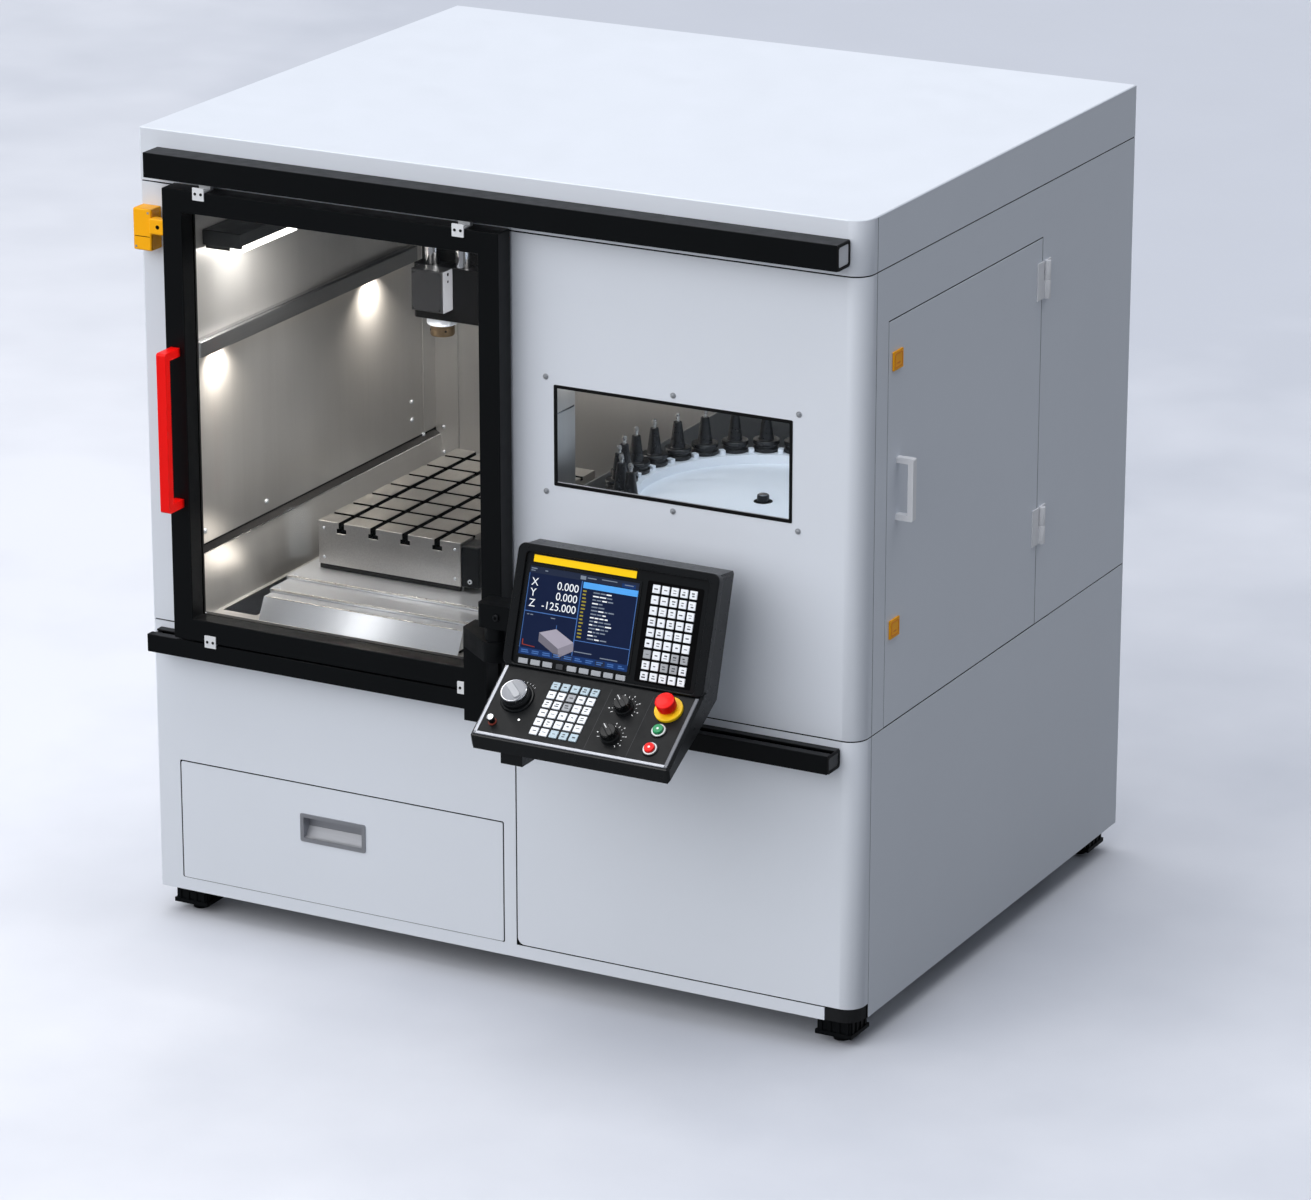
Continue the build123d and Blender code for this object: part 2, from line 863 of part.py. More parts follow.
# Chip drawer: flush front with an opening for the pull, and an open tray behind it
with BuildPart() as chip_drawer:
    with BuildSketch(facing_front):
        front_field(drawer_insets, drawer_rises, panel_corner_radius / 4)
        front_field(
            (pull_insets[0] + pull_flange, pull_insets[1] - pull_flange),
            (pull_rises[0] + pull_flange, pull_rises[1] - pull_flange),
            pull_radius - pull_flange / 2,
            mode=Mode.SUBTRACT,
        )
    extrude(amount=-sheet)
    tray_top = foot + drawer_rises[1] - tray_drop
    with BuildSketch(Plane.XY.offset(foot + drawer_rises[0])):
        with Locations((left + sum(drawer_insets) / 2, inner_front + pull_depth + drawer_depth / 2)):
            Rectangle(drawer_insets[1] - drawer_insets[0], drawer_depth)
    extrude(amount=tray_wall)
    with BuildSketch(Plane.XY.offset(foot + drawer_rises[0])):
        with Locations((left + sum(drawer_insets) / 2, inner_front + pull_depth + drawer_depth / 2)):
            Rectangle(drawer_insets[1] - drawer_insets[0], drawer_depth)
            Rectangle(
                drawer_insets[1] - drawer_insets[0] - 2 * tray_wall,
                drawer_depth - 2 * tray_wall,
                mode=Mode.SUBTRACT,
            )
    extrude(amount=tray_top - foot - drawer_rises[0])
    for edge in (left + drawer_insets[0], left + drawer_insets[1] - tray_wall):
        span(
            (edge, edge + tray_wall),
            (inner_front, inner_front + pull_depth + tray_wall),
            (foot + drawer_rises[0], tray_top),
        )
chip_drawer.part.label = "chip_drawer"
export_step(chip_drawer.part, "parts/chip_drawer.step")

# Recessed drawer pull: a flanged cup
with BuildPart() as drawer_pull:
    with BuildSketch(facing_front):
        front_field(pull_insets, pull_rises, pull_radius)
    extrude(amount=pull_wall)
    with BuildSketch(facing_front):
        front_field(
            (pull_insets[0] + pull_flange + running_gap, pull_insets[1] - pull_flange - running_gap),
            (pull_rises[0] + pull_flange + running_gap, pull_rises[1] - pull_flange - running_gap),
            pull_radius - pull_flange / 2,
        )
    extrude(amount=-pull_depth)
    with BuildSketch(facing_front.offset(pull_wall)):
        front_field(
            (pull_insets[0] + pull_flange + pull_wall, pull_insets[1] - pull_flange - pull_wall),
            (pull_rises[0] + pull_flange + pull_wall, pull_rises[1] - pull_flange - pull_wall),
            pull_radius - pull_flange / 2,
        )
    extrude(amount=-pull_depth, mode=Mode.SUBTRACT)
drawer_pull.part.label = "drawer_pull"
export_step(drawer_pull.part, "parts/drawer_pull.step")

# Fixed drawer slides, one on each side of the tray
with BuildPart() as drawer_slides:
    for x_pair in (
        (inner_left + frame_width, left + drawer_insets[0] - running_gap),
        (left + drawer_insets[1] + running_gap, left + drawer_insets[1] + frame_width / 2),
    ):
        span(
            x_pair,
            (inner_front + pull_depth, front + slide_post_depth + frame_width),
            (foot + slide_rise, foot + slide_rise + slide_height),
        )
drawer_slides.part.label = "drawer_slides"
export_step(drawer_slides.part, "parts/drawer_slides.step")

hinge_x = right + hinge_radius
hinge_y = front + service_depths[1] + hinge_set_back
service_foot = lower_seam + seam / 2
service_top = foot + service_rise_top

# Service door: flush sheet with a stiffening frame on its inside
with BuildPart() as side_door:
    with BuildSketch(Plane.YZ.offset(inner_right)):
        with Locations((front + sum(service_depths) / 2, (service_foot + service_top) / 2)):
            Rectangle(service_depths[1] - service_depths[0], service_top - service_foot)
    extrude(amount=sheet)
    with BuildSketch(Plane.YZ.offset(inner_right)):
        with Locations((front + sum(service_depths) / 2, (service_foot + service_top) / 2)):
            Rectangle(
                service_depths[1] - service_depths[0] - 2 * stiffener_inset,
                service_top - service_foot - 2 * stiffener_inset,
            )
            Rectangle(
                service_depths[1] - service_depths[0] - 2 * stiffener_inset - 2 * stiffener_width,
                service_top - service_foot - 2 * stiffener_inset - 2 * stiffener_width,
                mode=Mode.SUBTRACT,
            )
    extrude(amount=-stiffener_depth)
side_door.part.label = "side_door"
export_step(side_door.part, "parts/side_door.step")

# Service door grip
with BuildPart() as side_door_handle:
    grip_y = front + service_depths[0] + side_handle_set_in
    with BuildSketch(Plane.XZ.offset(-grip_y - side_handle_width / 2)):
        grip_profile(right, side_handle_reach, side_handle_rise, side_handle_length, side_handle_bar)
    extrude(amount=side_handle_width)
    fillet(side_door_handle.edges().filter_by(Axis.Y).group_by(Axis.X)[-1], side_handle_fillet)
side_door_handle.part.label = "side_door_handle"
export_step(side_door_handle.part, "parts/side_door_handle.step")

# Latch pads of the service door
with BuildPart() as latch_pads:
    for rise in pad_rises:
        span(
            (right, right + pad_thickness),
            (front + service_depths[0] + pad_set_in, front + service_depths[0] + pad_set_in + pad_width),
            (foot + rise, foot + rise + pad_height),
        )
    fillet(latch_pads.faces().group_by(Axis.X)[-1].edges(), pad_fillet)
latch_pads.part.label = "latch_pads"
export_step(latch_pads.part, "parts/latch_pads.step")


def knuckle(low, length):
    """Hinge barrel on the service door's hinge line."""
    with Locations((hinge_x, hinge_y, low)):
        Cylinder(hinge_radius, length, align=(Align.CENTER, Align.CENTER, Align.MIN))


# Fixed hinge leaves with their pins, above the halves that lift off
with BuildPart() as hinge_leaves_fixed:
    for rise in hinge_rises:
        split = foot + rise + hinge_length / 2
        knuckle(split, hinge_length / 2)
        span(
            (right, right + hinge_leaf),
            (hinge_y, hinge_y + hinge_leaf_width),
            (split, split + hinge_length / 2),
        )
        span(
            (right, right + hinge_leaf),
            (hinge_y + hinge_radius + running_gap, hinge_y + hinge_leaf_width),
            (foot + rise, split),
        )
        with Locations((hinge_x, hinge_y, foot + rise)):
            Cylinder(hinge_pin_radius, hinge_length, align=(Align.CENTER, Align.CENTER, Align.MIN))
hinge_leaves_fixed.part.label = "hinge_leaves_fixed"
export_step(hinge_leaves_fixed.part, "parts/hinge_leaves_fixed.step")

# Moving hinge leaves on the service door
with BuildPart() as hinge_leaves_moving:
    for rise in hinge_rises:
        knuckle(foot + rise, hinge_length / 2 - running_gap)
        span(
            (right, right + hinge_leaf),
            (hinge_y - hinge_leaf_width - hinge_set_back, hinge_y),
            (foot + rise, foot + rise + hinge_length / 2 - running_gap),
        )
        span(
            (right, right + hinge_leaf),
            (hinge_y - hinge_leaf_width - hinge_set_back, hinge_y - hinge_radius - running_gap),
            (foot + rise, foot + rise + hinge_length),
        )
        with Locations((hinge_x, hinge_y, foot + rise)):
            Cylinder(
                hinge_pin_radius + bore_gap,
                hinge_length,
                align=(Align.CENTER, Align.CENTER, Align.MIN),
                mode=Mode.SUBTRACT,
            )
hinge_leaves_moving.part.label = "hinge_leaves_moving"
export_step(hinge_leaves_moving.part, "parts/hinge_leaves_moving.step")

cabin_left = left + cabin_inset
cabin_back = front + cabin_depth
floor_z = foot + floor_rise
partition_x = left + partition_inset
guard_foot_x = cabin_left + ledge_width + guard_slope

# Cabin left wall: one folded sheet with a ledge and a sloping splash guard
with BuildPart() as cabin_left_wall:
    with BuildSketch(Plane.XZ.offset(-inner_front)):
        with BuildLine():
            Polyline(
                (cabin_left, foot + cabin_top_rise),
                (cabin_left, foot + ledge_rise + ledge_height),
                (cabin_left + ledge_width, foot + ledge_rise),
                (guard_foot_x, floor_z + sheet),
                (guard_foot_x + sheet, floor_z + sheet),
                (cabin_left + ledge_width + sheet, foot + ledge_rise + sheet),
                (cabin_left + sheet, foot + ledge_rise + ledge_height + sheet),
                (cabin_left + sheet, foot + cabin_top_rise),
                close=True,
            )
        make_face()
    extrude(amount=-cabin_depth + sheet)
    span(
        (cabin_left - overrun, guard_foot_x + sheet + overrun),
        (inner_front - overrun, inner_front + frame_width),
        (floor_z - overrun, lower_seam + frame_width / 2),
        mode=Mode.SUBTRACT,
    )
cabin_left_wall.part.label = "cabin_left_wall"
export_step(cabin_left_wall.part, "parts/cabin_left_wall.step")

# Cabin back wall, up to the gantry
with BuildPart() as cabin_back_wall:
    span(
        (cabin_left, inner_right - frame_width),
        (cabin_back, cabin_back + sheet),
        (floor_z, foot + beam_rise - back_wall_gap),
    )
cabin_back_wall.part.label = "cabin_back_wall"
export_step(cabin_back_wall.part, "parts/cabin_back_wall.step")

# Cabin floor, open over the bed and above the chip drawer
with BuildPart() as cabin_floor:
    with BuildSketch(Plane.XY.offset(floor_z)):
        with Locations(((cabin_left + partition_x + sheet) / 2, (inner_front + frame_width + cabin_back) / 2)):
            Rectangle(partition_x + sheet - cabin_left, cabin_back - inner_front - frame_width)
        with Locations((cover_x, front + sum(bed_depths) / 2)):
            Rectangle(cover_width - cover_side_step, bed_depths[1] - bed_depths[0], mode=Mode.SUBTRACT)
        with Locations((left + sum(floor_slot_insets) / 2, front + sum(floor_slot_depths) / 2)):
            Rectangle(
                floor_slot_insets[1] - floor_slot_insets[0],
                floor_slot_depths[1] - floor_slot_depths[0],
                mode=Mode.SUBTRACT,
            )
    extrude(amount=sheet)
cabin_floor.part.label = "cabin_floor"
export_step(cabin_floor.part, "parts/cabin_floor.step")

# Partition between the cabin and the magazine, open where the head passes through
with BuildPart() as partition_wall:
    span(
        (partition_x, partition_x + sheet),
        (inner_front, cabin_back),
        (floor_z + sheet, foot + cabin_top_rise),
    )
    span(
        (partition_x - overrun, partition_x + sheet + overrun),
        (front + partition_notch_depth, cabin_back + overrun),
        (foot + disc_top_rise + notch_clearance, foot + cabin_top_rise + overrun),
        mode=Mode.SUBTRACT,
    )
    span(
        (partition_x - overrun, partition_x + sheet + overrun),
        (inner_front - overrun, inner_front + frame_width),
        (floor_z - overrun, lower_seam + frame_width / 2),
        mode=Mode.SUBTRACT,
    )
partition_wall.part.label = "partition_wall"
export_step(partition_wall.part, "parts/partition_wall.step")

wall_face = cabin_left + sheet

# Cabin lights: a lamp under a sloping hood, and a light strip along the left wall
with BuildPart() as cabin_lights:
    with BuildSketch(Plane.XZ.offset(-front - lamp_depths[0])):
        with BuildLine():
            Polyline(
                (wall_face, foot + lamp_rise),
                (wall_face + lamp_reach, foot + lamp_rise),
                (wall_face + lamp_reach, foot + lamp_rise + lamp_nose),
                (wall_face, foot + lamp_rise + lamp_height),
                close=True,
            )
        make_face()
    extrude(amount=lamp_depths[0] - lamp_depths[1])
    span(
        (wall_face, wall_face + strip_reach),
        (front + strip_depths[0], front + strip_depths[1]),
        (foot + strip_rise, foot + strip_rise + strip_height),
    )
cabin_lights.part.label = "cabin_lights"
export_step(cabin_lights.part, "parts/cabin_lights.step")

guide_foot = foot + bed_top_rise
guide_top = guide_foot + guide_height

# Machine bed: a waisted casting on the cross members
with BuildPart() as machine_bed:
    with BuildSketch(Plane.XZ.offset(-front - bed_depths[0])):
        with BuildLine():
            Polyline(
                (spindle_x - bed_width / 2, bed_top),
                (spindle_x + bed_width / 2, bed_top),
                (spindle_x + bed_width / 2, bed_top + frame_width),
                (spindle_x + bed_waist / 2, bed_top + 2 * frame_width),
                (spindle_x + bed_waist / 2, guide_foot - 2 * frame_width),
                (spindle_x + bed_width / 2, guide_foot - frame_width),
                (spindle_x + bed_width / 2, guide_foot),
                (spindle_x - bed_width / 2, guide_foot),
                (spindle_x - bed_width / 2, guide_foot - frame_width),
                (spindle_x - bed_waist / 2, guide_foot - 2 * frame_width),
                (spindle_x - bed_waist / 2, bed_top + 2 * frame_width),
                (spindle_x - bed_width / 2, bed_top + frame_width),
                close=True,
            )
        make_face()
    extrude(amount=bed_depths[0] - bed_depths[1])
machine_bed.part.label = "machine_bed"
export_step(machine_bed.part, "parts/machine_bed.step")

# Crossbeam of the gantry, on the front of the columns
with BuildPart() as crossbeam:
    span(
        (left + beam_insets[0], left + beam_insets[1]),
        (front + beam_depth, cabin_back + sheet),
        (foot + beam_rise, foot + beam_rise + beam_height),
    )
crossbeam.part.label = "crossbeam"
export_step(crossbeam.part, "parts/crossbeam.step")

beam_front = front + beam_depth
beam_middle_z = foot + beam_rise + beam_height / 2

# Linear rails: two on the bed, two on the crossbeam
with BuildPart() as linear_rails:
    for side in (-1, 1):
        rail_x = spindle_x + side * guide_spread / 2
        span(
            (rail_x - guide_width / 2, rail_x + guide_width / 2),
            (front + bed_depths[0], front + bed_depths[1]),
            (guide_foot, guide_top),
        )
        rail_z = beam_middle_z + side * cross_guide_spread / 2
        span(
            (left + beam_insets[0], left + beam_insets[1]),
            (beam_front - cross_guide_width, beam_front),
            (rail_z - cross_guide_width / 2, rail_z + cross_guide_width / 2),
        )
linear_rails.part.label = "linear_rails"
export_step(linear_rails.part, "parts/linear_rails.step")

table_top = foot + table_top_rise
table_foot = table_top - table_thickness
table_length = table_depths[1] - table_depths[0]
block_spread = sum(table_depths) - 2 * (rear_cover_depths[1] + block_stand)
table_middle_y = front + sum(table_depths) / 2

# Table with T-slots, fine cross grooves and its four bearing blocks
with BuildPart() as table:
    with BuildSketch(Plane.XZ.offset(-front - table_depths[0])):
        with Locations((spindle_x, (table_top + table_foot) / 2)):
            Rectangle(table_width, table_thickness)
        with Locations((spindle_x, table_top - slot_neck_depth / 2)):
            with GridLocations(slot_pitch, slot_pitch, slot_count, 1):
                Rectangle(slot_neck, slot_neck_depth, mode=Mode.SUBTRACT)
        with Locations((spindle_x, table_top - slot_neck_depth - slot_head_depth / 2)):
            with GridLocations(slot_pitch, slot_pitch, slot_count, 1):
                Rectangle(slot_head, slot_head_depth, mode=Mode.SUBTRACT)
    extrude(amount=-table_length)
    with Locations((spindle_x, table_middle_y, table_top)):
        with GridLocations(slot_pitch, slot_pitch, 1, groove_count):
            Box(table_width, groove_width, 2 * groove_depth, mode=Mode.SUBTRACT)
    with Locations((spindle_x, table_middle_y, (table_foot + guide_top - block_bite) / 2)):
        with GridLocations(guide_spread, block_spread, 2, 2):
            Box(block_width, block_length, table_foot - guide_top + block_bite)
    with Locations((spindle_x, table_middle_y, guide_top - block_bite)):
        with GridLocations(guide_spread, block_spread, 2, 2):
            Box(
                guide_width + 2 * running_gap,
                block_length,
                2 * (block_bite + running_gap),
                mode=Mode.SUBTRACT,
            )
table.part.label = "table"
export_step(table.part, "parts/table.step")


def way_cover(depths, step):
    """One telescopic cover: top sheet, two skirts and a wiper edge at its front."""
    half = cover_width / 2 + step * cover_side_step
    cover_top = foot + cover_top_rise + step * cover_step
    with BuildSketch(Plane.XZ.offset(-front - depths[0])) as profile:
        with Locations((cover_x, (cover_top + foot + cover_foot_rise) / 2)):
            Rectangle(2 * half, cover_top - foot - cover_foot_rise)
        with Locations((cover_x, (cover_top - cover_sheet + foot + cover_foot_rise) / 2)):
            Rectangle(
                2 * half - 2 * cover_sheet,
                cover_top - cover_sheet - foot - cover_foot_rise,
                mode=Mode.SUBTRACT,
            )
    extrude(profile.sketch, amount=depths[0] - depths[1])
    if step:
        span(
            (cover_x - half, cover_x + half),
            (front + depths[0], front + depths[0] + cover_sheet),
            (cover_top - cover_step + running_gap, cover_top),
        )


# Front way cover, fixed, with a sloping nose
with BuildPart() as way_cover_front:
    way_cover(cover_depths, 0)
    nose_top = foot + cover_top_rise
    with BuildSketch(Plane.YZ.offset(cover_x - cover_width / 2)):
        with BuildLine():
            Polyline(
                (front + cover_depths[0], floor_z + sheet),
                (front + cover_depths[0] + cover_sheet, floor_z + sheet),
                (front + cover_depths[0] + cover_nose_run + cover_sheet, nose_top - cover_sheet),
                (front + cover_depths[0] + cover_nose_run + cover_sheet, nose_top + overrun),
                (front + cover_depths[0], nose_top + overrun),
                close=True,
            )
        make_face()
    extrude(amount=cover_width, mode=Mode.SUBTRACT)
    with BuildSketch(Plane.YZ.offset(cover_x - cover_width / 2)):
        with BuildLine():
            Polyline(
                (front + cover_depths[0], floor_z + sheet),
                (front + cover_depths[0] + cover_sheet, floor_z + sheet),
                (front + cover_depths[0] + cover_nose_run + cover_sheet, nose_top - cover_sheet),
                (front + cover_depths[0] + cover_nose_run + cover_sheet, nose_top),
                (front + cover_depths[0] + cover_nose_run, nose_top),
                close=True,
            )
        make_face()
    extrude(amount=cover_width)
way_cover_front.part.label = "way_cover_front"
export_step(way_cover_front.part, "parts/way_cover_front.step")

# Middle way cover
with BuildPart() as way_cover_middle:
    way_cover(middle_cover_depths, 1)
way_cover_middle.part.label = "way_cover_middle"
export_step(way_cover_middle.part, "parts/way_cover_middle.step")

# Rear way cover, hung from the underside of the table
with BuildPart() as way_cover_rear:
    way_cover(rear_cover_depths, 2)
    span(
        (spindle_x - table_width / 2, spindle_x + table_width / 2),
        (front + cover_post_depth, front + cover_post_depth + cover_sheet),
        (foot + cover_top_rise + 2 * cover_step - cover_sheet, table_foot),
    )
way_cover_rear.part.label = "way_cover_rear"
export_step(way_cover_rear.part, "parts/way_cover_rear.step")

carriage_back = beam_front - cross_guide_width - running_gap
carriage_front = carriage_back - carriage_plate
carriage_low = foot + beam_rise + carriage_margin
carriage_high = foot + beam_rise + beam_height - carriage_margin

# X carriage: plate with bearing channels behind it and two vertical ways in front
with BuildPart() as x_carriage:
    with BuildSketch(Plane.YZ.offset(head_x - carriage_width / 2)):
        with Locations(((carriage_front + carriage_back) / 2, beam_middle_z)):
            Rectangle(carriage_plate, carriage_high - carriage_low)
        with Locations((carriage_back + carriage_bite / 2, beam_middle_z)):
            Rectangle(carriage_bite, carriage_high - carriage_low)
            with GridLocations(cross_guide_spread, cross_guide_spread, 1, 2):
                Rectangle(carriage_bite, cross_guide_width + 2 * running_gap, mode=Mode.SUBTRACT)
    extrude(amount=carriage_width)
    for side in (-1, 1):
        way_x = head_x + side * way_spread / 2
        span(
            (way_x - way_width / 2, way_x + way_width / 2),
            (carriage_front - way_depth, carriage_front),
            (foot + way_rises[0], foot + way_rises[1]),
        )
x_carriage.part.label = "x_carriage"
export_step(x_carriage.part, "parts/x_carriage.step")

head_front = front + head_front_depth
head_back = carriage_front - running_gap
head_foot = foot + head_rise
head_step = foot + head_step_rise
head_top = foot + head_top_rise

# Spindle head casting, stepped in front and grooved behind for the ways
with BuildPart() as spindle_head:
    with BuildSketch(Plane.YZ.offset(head_x - head_width / 2)):
        with BuildLine():
            Polyline(
                (head_front, head_foot),
                (head_front, head_step),
                (head_front + head_step_run, head_step),
                (head_front + head_step_run, head_top),
                (head_back, head_top),
                (head_back, foot + head_belly_rise),
                (front + head_belly_depth, head_foot),
                close=True,
            )
        make_face()
    extrude(amount=head_width)
    chamfer(spindle_head.edges().filter_by(Axis.Z).group_by(Axis.Y)[0], head_edge)
    for side in (-1, 1):
        way_x = head_x + side * way_spread / 2
        span(
            (way_x - way_width / 2 - running_gap, way_x + way_width / 2 + running_gap),
            (head_back - way_depth - running_gap, head_back + overrun),
            (head_foot - overrun, head_top + overrun),
            mode=Mode.SUBTRACT,
        )
    with Locations((spindle_x, spindle_y, head_foot)):
        Cylinder(
            spindle_shaft_radius + bore_gap,
            spindle_shaft_length + overrun,
            align=(Align.CENTER, Align.CENTER, Align.MIN),
            mode=Mode.SUBTRACT,
        )
spindle_head.part.label = "spindle_head"
export_step(spindle_head.part, "parts/spindle_head.step")

# Cover box on the front of the head
with BuildPart() as head_cover:
    span(
        (left + cover_box_insets[0], left + cover_box_insets[1]),
        (head_front - cover_box_depth, head_front),
        (foot + cover_box_rise, head_step),
    )
    fillet(head_cover.faces().sort_by(Axis.Y)[0].edges(), cover_box_fillet)
head_cover.part.label = "head_cover"
export_step(head_cover.part, "parts/head_cover.step")

# Drive of the head: two drawbar cylinders on the step and the motor on top
with BuildPart() as spindle_drive:
    for along in cylinder_offsets:
        with Locations((spindle_x + along, head_front + cylinder_set_back, head_step)):
            Cylinder(cylinder_radius, cylinder_height, align=(Align.CENTER, Align.CENTER, Align.MIN))
    with BuildSketch(Plane.XY.offset(head_top)):
        with Locations((head_x, front + motor_depth)):
            RectangleRounded(motor_width, motor_width, motor_fillet)
    extrude(amount=motor_height)
spindle_drive.part.label = "spindle_drive"
export_step(spindle_drive.part, "parts/spindle_drive.step")

# Spindle: shaft in the head, collar and nose with the tool socket
with BuildPart() as spindle_nose:
    collar_top = head_foot - running_gap
    nose_foot = collar_top - collar_height - nose_height
    with BuildSketch(Plane.XZ.offset(-spindle_y)):
        with BuildLine():
            Polyline(
                (spindle_x, nose_foot + nose_bore_depth),
                (spindle_x + nose_bore_radius, nose_foot + nose_bore_depth),
                (spindle_x + nose_bore_radius, nose_foot),
                (spindle_x + nose_radius, nose_foot),
                (spindle_x + nose_radius, collar_top - collar_height),
                (spindle_x + collar_radius, collar_top - collar_height),
                (spindle_x + collar_radius, collar_top),
                (spindle_x + spindle_shaft_radius, collar_top),
                (spindle_x + spindle_shaft_radius, head_foot + spindle_shaft_length),
                (spindle_x, head_foot + spindle_shaft_length),
                close=True,
            )
        make_face()
    revolve(axis=Axis((spindle_x, spindle_y, 0), (0, 0, 1)))
spindle_nose.part.label = "spindle_nose"
export_step(spindle_nose.part, "parts/spindle_nose.step")

disc_top = foot + disc_top_rise
hub_foot = disc_top - hub_height
rim_top = disc_top + rim_height
magazine_axis = Axis((magazine_x, magazine_y, 0), (0, 0, 1))
magazine_plane = Plane.XZ.offset(-magazine_y)

# Magazine pedestal with the shaft that the disc turns on
with BuildPart() as magazine_pedestal:
    with BuildSketch(magazine_plane):
        with BuildLine():
            Polyline(
                (magazine_x, bed_top),
                (magazine_x + pedestal_foot_radius, bed_top),
                (magazine_x + pedestal_foot_radius, bed_top + pedestal_foot_height),
                (magazine_x + pedestal_radius, bed_top + pedestal_foot_height),
                (magazine_x + pedestal_radius, hub_foot - running_gap),
                (magazine_x + spindle_shaft_radius, hub_foot - running_gap),
                (magazine_x + spindle_shaft_radius, disc_top),
                (magazine_x, disc_top),
                close=True,
            )
        make_face()
    revolve(axis=magazine_axis)
magazine_pedestal.part.label = "magazine_pedestal"
export_step(magazine_pedestal.part, "parts/magazine_pedestal.step")

# Magazine disc with a raised rim, notched for the tool holders
with BuildPart() as magazine_disc:
    with BuildSketch(magazine_plane):
        with BuildLine():
            Polyline(
                (magazine_x + spindle_shaft_radius + bore_gap, hub_foot),
                (magazine_x + hub_radius, hub_foot),
                (magazine_x + hub_radius, disc_top - disc_thickness),
                (magazine_x + rim_radius, disc_top - disc_thickness),
                (magazine_x + rim_radius, rim_top),
                (magazine_x + rim_inner_radius, rim_top),
                (magazine_x + rim_inner_radius, disc_top),
                (magazine_x + spindle_shaft_radius + bore_gap, disc_top),
                close=True,
            )
        make_face()
    revolve(axis=magazine_axis)
    with Locations((magazine_x, magazine_y, disc_top)):
        with PolarLocations(tool_ring_radius, pocket_count):
            Box(2 * pocket_radius, 2 * pocket_radius, 2 * hub_radius, mode=Mode.SUBTRACT)
magazine_disc.part.label = "magazine_disc"
export_step(magazine_disc.part, "parts/magazine_disc.step")

# Tool holders standing in the pockets seen through the window
with BuildPart() as tool_holders:
    flange_top = rim_top + tool_flange_height
    taper_top = flange_top + tool_taper_height
    for pocket in range(tool_count):
        turn = 360 * (first_tool_pocket + pocket) / pocket_count
        holder = Pos(magazine_x, magazine_y, 0) * Rot(0, 0, turn) * Pos(tool_ring_radius, 0, 0)
        with BuildSketch(Plane(holder) * Plane.XZ):
            with BuildLine():
                Polyline(
                    (0, rim_top - tool_nose_height),
                    (tool_nose_radius, rim_top - tool_nose_height),
                    (tool_nose_radius, rim_top),
                    (tool_flange_radius, rim_top),
                    (tool_flange_radius, flange_top),
                    (tool_taper_radius, flange_top),
                    (tool_taper_tip_radius, taper_top),
                    (tool_stud_radius, taper_top),
                    (tool_stud_radius, taper_top + tool_stud_height),
                    (0, taper_top + tool_stud_height),
                    close=True,
                )
            make_face()
        revolve(axis=Axis(holder.position, (0, 0, 1)))
tool_holders.part.label = "tool_holders"
export_step(tool_holders.part, "parts/tool_holders.step")

pendant_left = left + pendant_inset
face_y = front - pendant_stand
face_z = foot + pendant_rise
fold_y = face_y - face_lean
fold_z = face_z - face_drop
lip_y = fold_y - console_reach
lip_z = fold_z - console_drop
face_plane = Plane((pendant_left, face_y, face_z), x_dir=(1, 0, 0), z_dir=(0, -face_drop, face_lean))
console_plane = Plane((pendant_left, fold_y, fold_z), x_dir=(1, 0, 0), z_dir=(0, -console_drop, console_reach))
face_length = (face_lean**2 + face_drop**2) ** 0.5
console_length = (console_reach**2 + console_drop**2) ** 0.5


def on_console(across, down):
    """Place on the console face from shares of its width and its slope."""
    return (across * pendant_width, -down * console_length)


dial_at = on_console(*dial_shares)
stop_at = on_console(*stop_shares)
selectors_at = [on_console(selector_across_share, down) for down in selector_down_shares]
pushes_at = [on_console(push_across_share, down) for down in push_down_shares]

# Pendant housing: leaning display case and sloping console, with wells for the controls' stems
with BuildPart() as pendant_housing:
    with BuildSketch(Plane.YZ.offset(pendant_left)):
        with BuildLine():
            Polyline(
                (face_y, face_z),
                (fold_y, fold_z),
                (lip_y, lip_z),
                (lip_y + lip_rake, lip_z - lip_height),
                (fold_y + knee_run, fold_z - knee_drop),
                (fold_y + case_depth, fold_z - knee_drop / 2),
                (face_y + case_depth, face_z - case_top_drop),
                close=True,
            )
        make_face()
    extrude(amount=pendant_width)
    chamfer(pendant_housing.faces().filter_by(Axis.X).edges(), pendant_edge)
    with BuildSketch(console_plane):
        with Locations(dial_at, stop_at, *selectors_at, *pushes_at):
            Circle(stem_radius + well_gap)
    extrude(amount=-well_depth, mode=Mode.SUBTRACT)
    span(
        (pendant_left + port_box_inset, pendant_left + port_box_inset + port_box_width),
        (front - port_box_stand - port_box_depth, front - port_box_stand),
        (foot + port_box_rise, foot + port_box_rise + port_box_height),
    )
pendant_housing.part.label = "pendant_housing"
export_step(pendant_housing.part, "parts/pendant_housing.step")

# Keys on the display case and on the console
with BuildPart() as pendant_keys:
    with BuildSketch(face_plane):
        with Locations((screen_key_across_share * pendant_width, -screen_key_down_share * face_length)):
            with GridLocations(
                screen_key_column_pitch, screen_key_row_pitch, screen_key_columns, screen_key_rows
            ):
                Rectangle(screen_key_size, screen_key_size)
        with Locations((soft_key_across_share * pendant_width, -soft_key_down_share * face_length)):
            with GridLocations(soft_key_pitch, soft_key_pitch, soft_key_count, 1):
                Rectangle(soft_key_size, soft_key_size / 2)
    extrude(amount=key_height_on_face)
    with BuildSketch(console_plane):
        with Locations((console_key_across_share * pendant_width, -console_key_down_share * console_length)):
            with GridLocations(console_key_pitch, console_key_pitch, console_key_columns, console_key_rows):
                Rectangle(console_key_size, console_key_size)
    extrude(amount=key_height_on_face)
pendant_keys.part.label = "pendant_keys"
export_step(pendant_keys.part, "parts/pendant_keys.step")

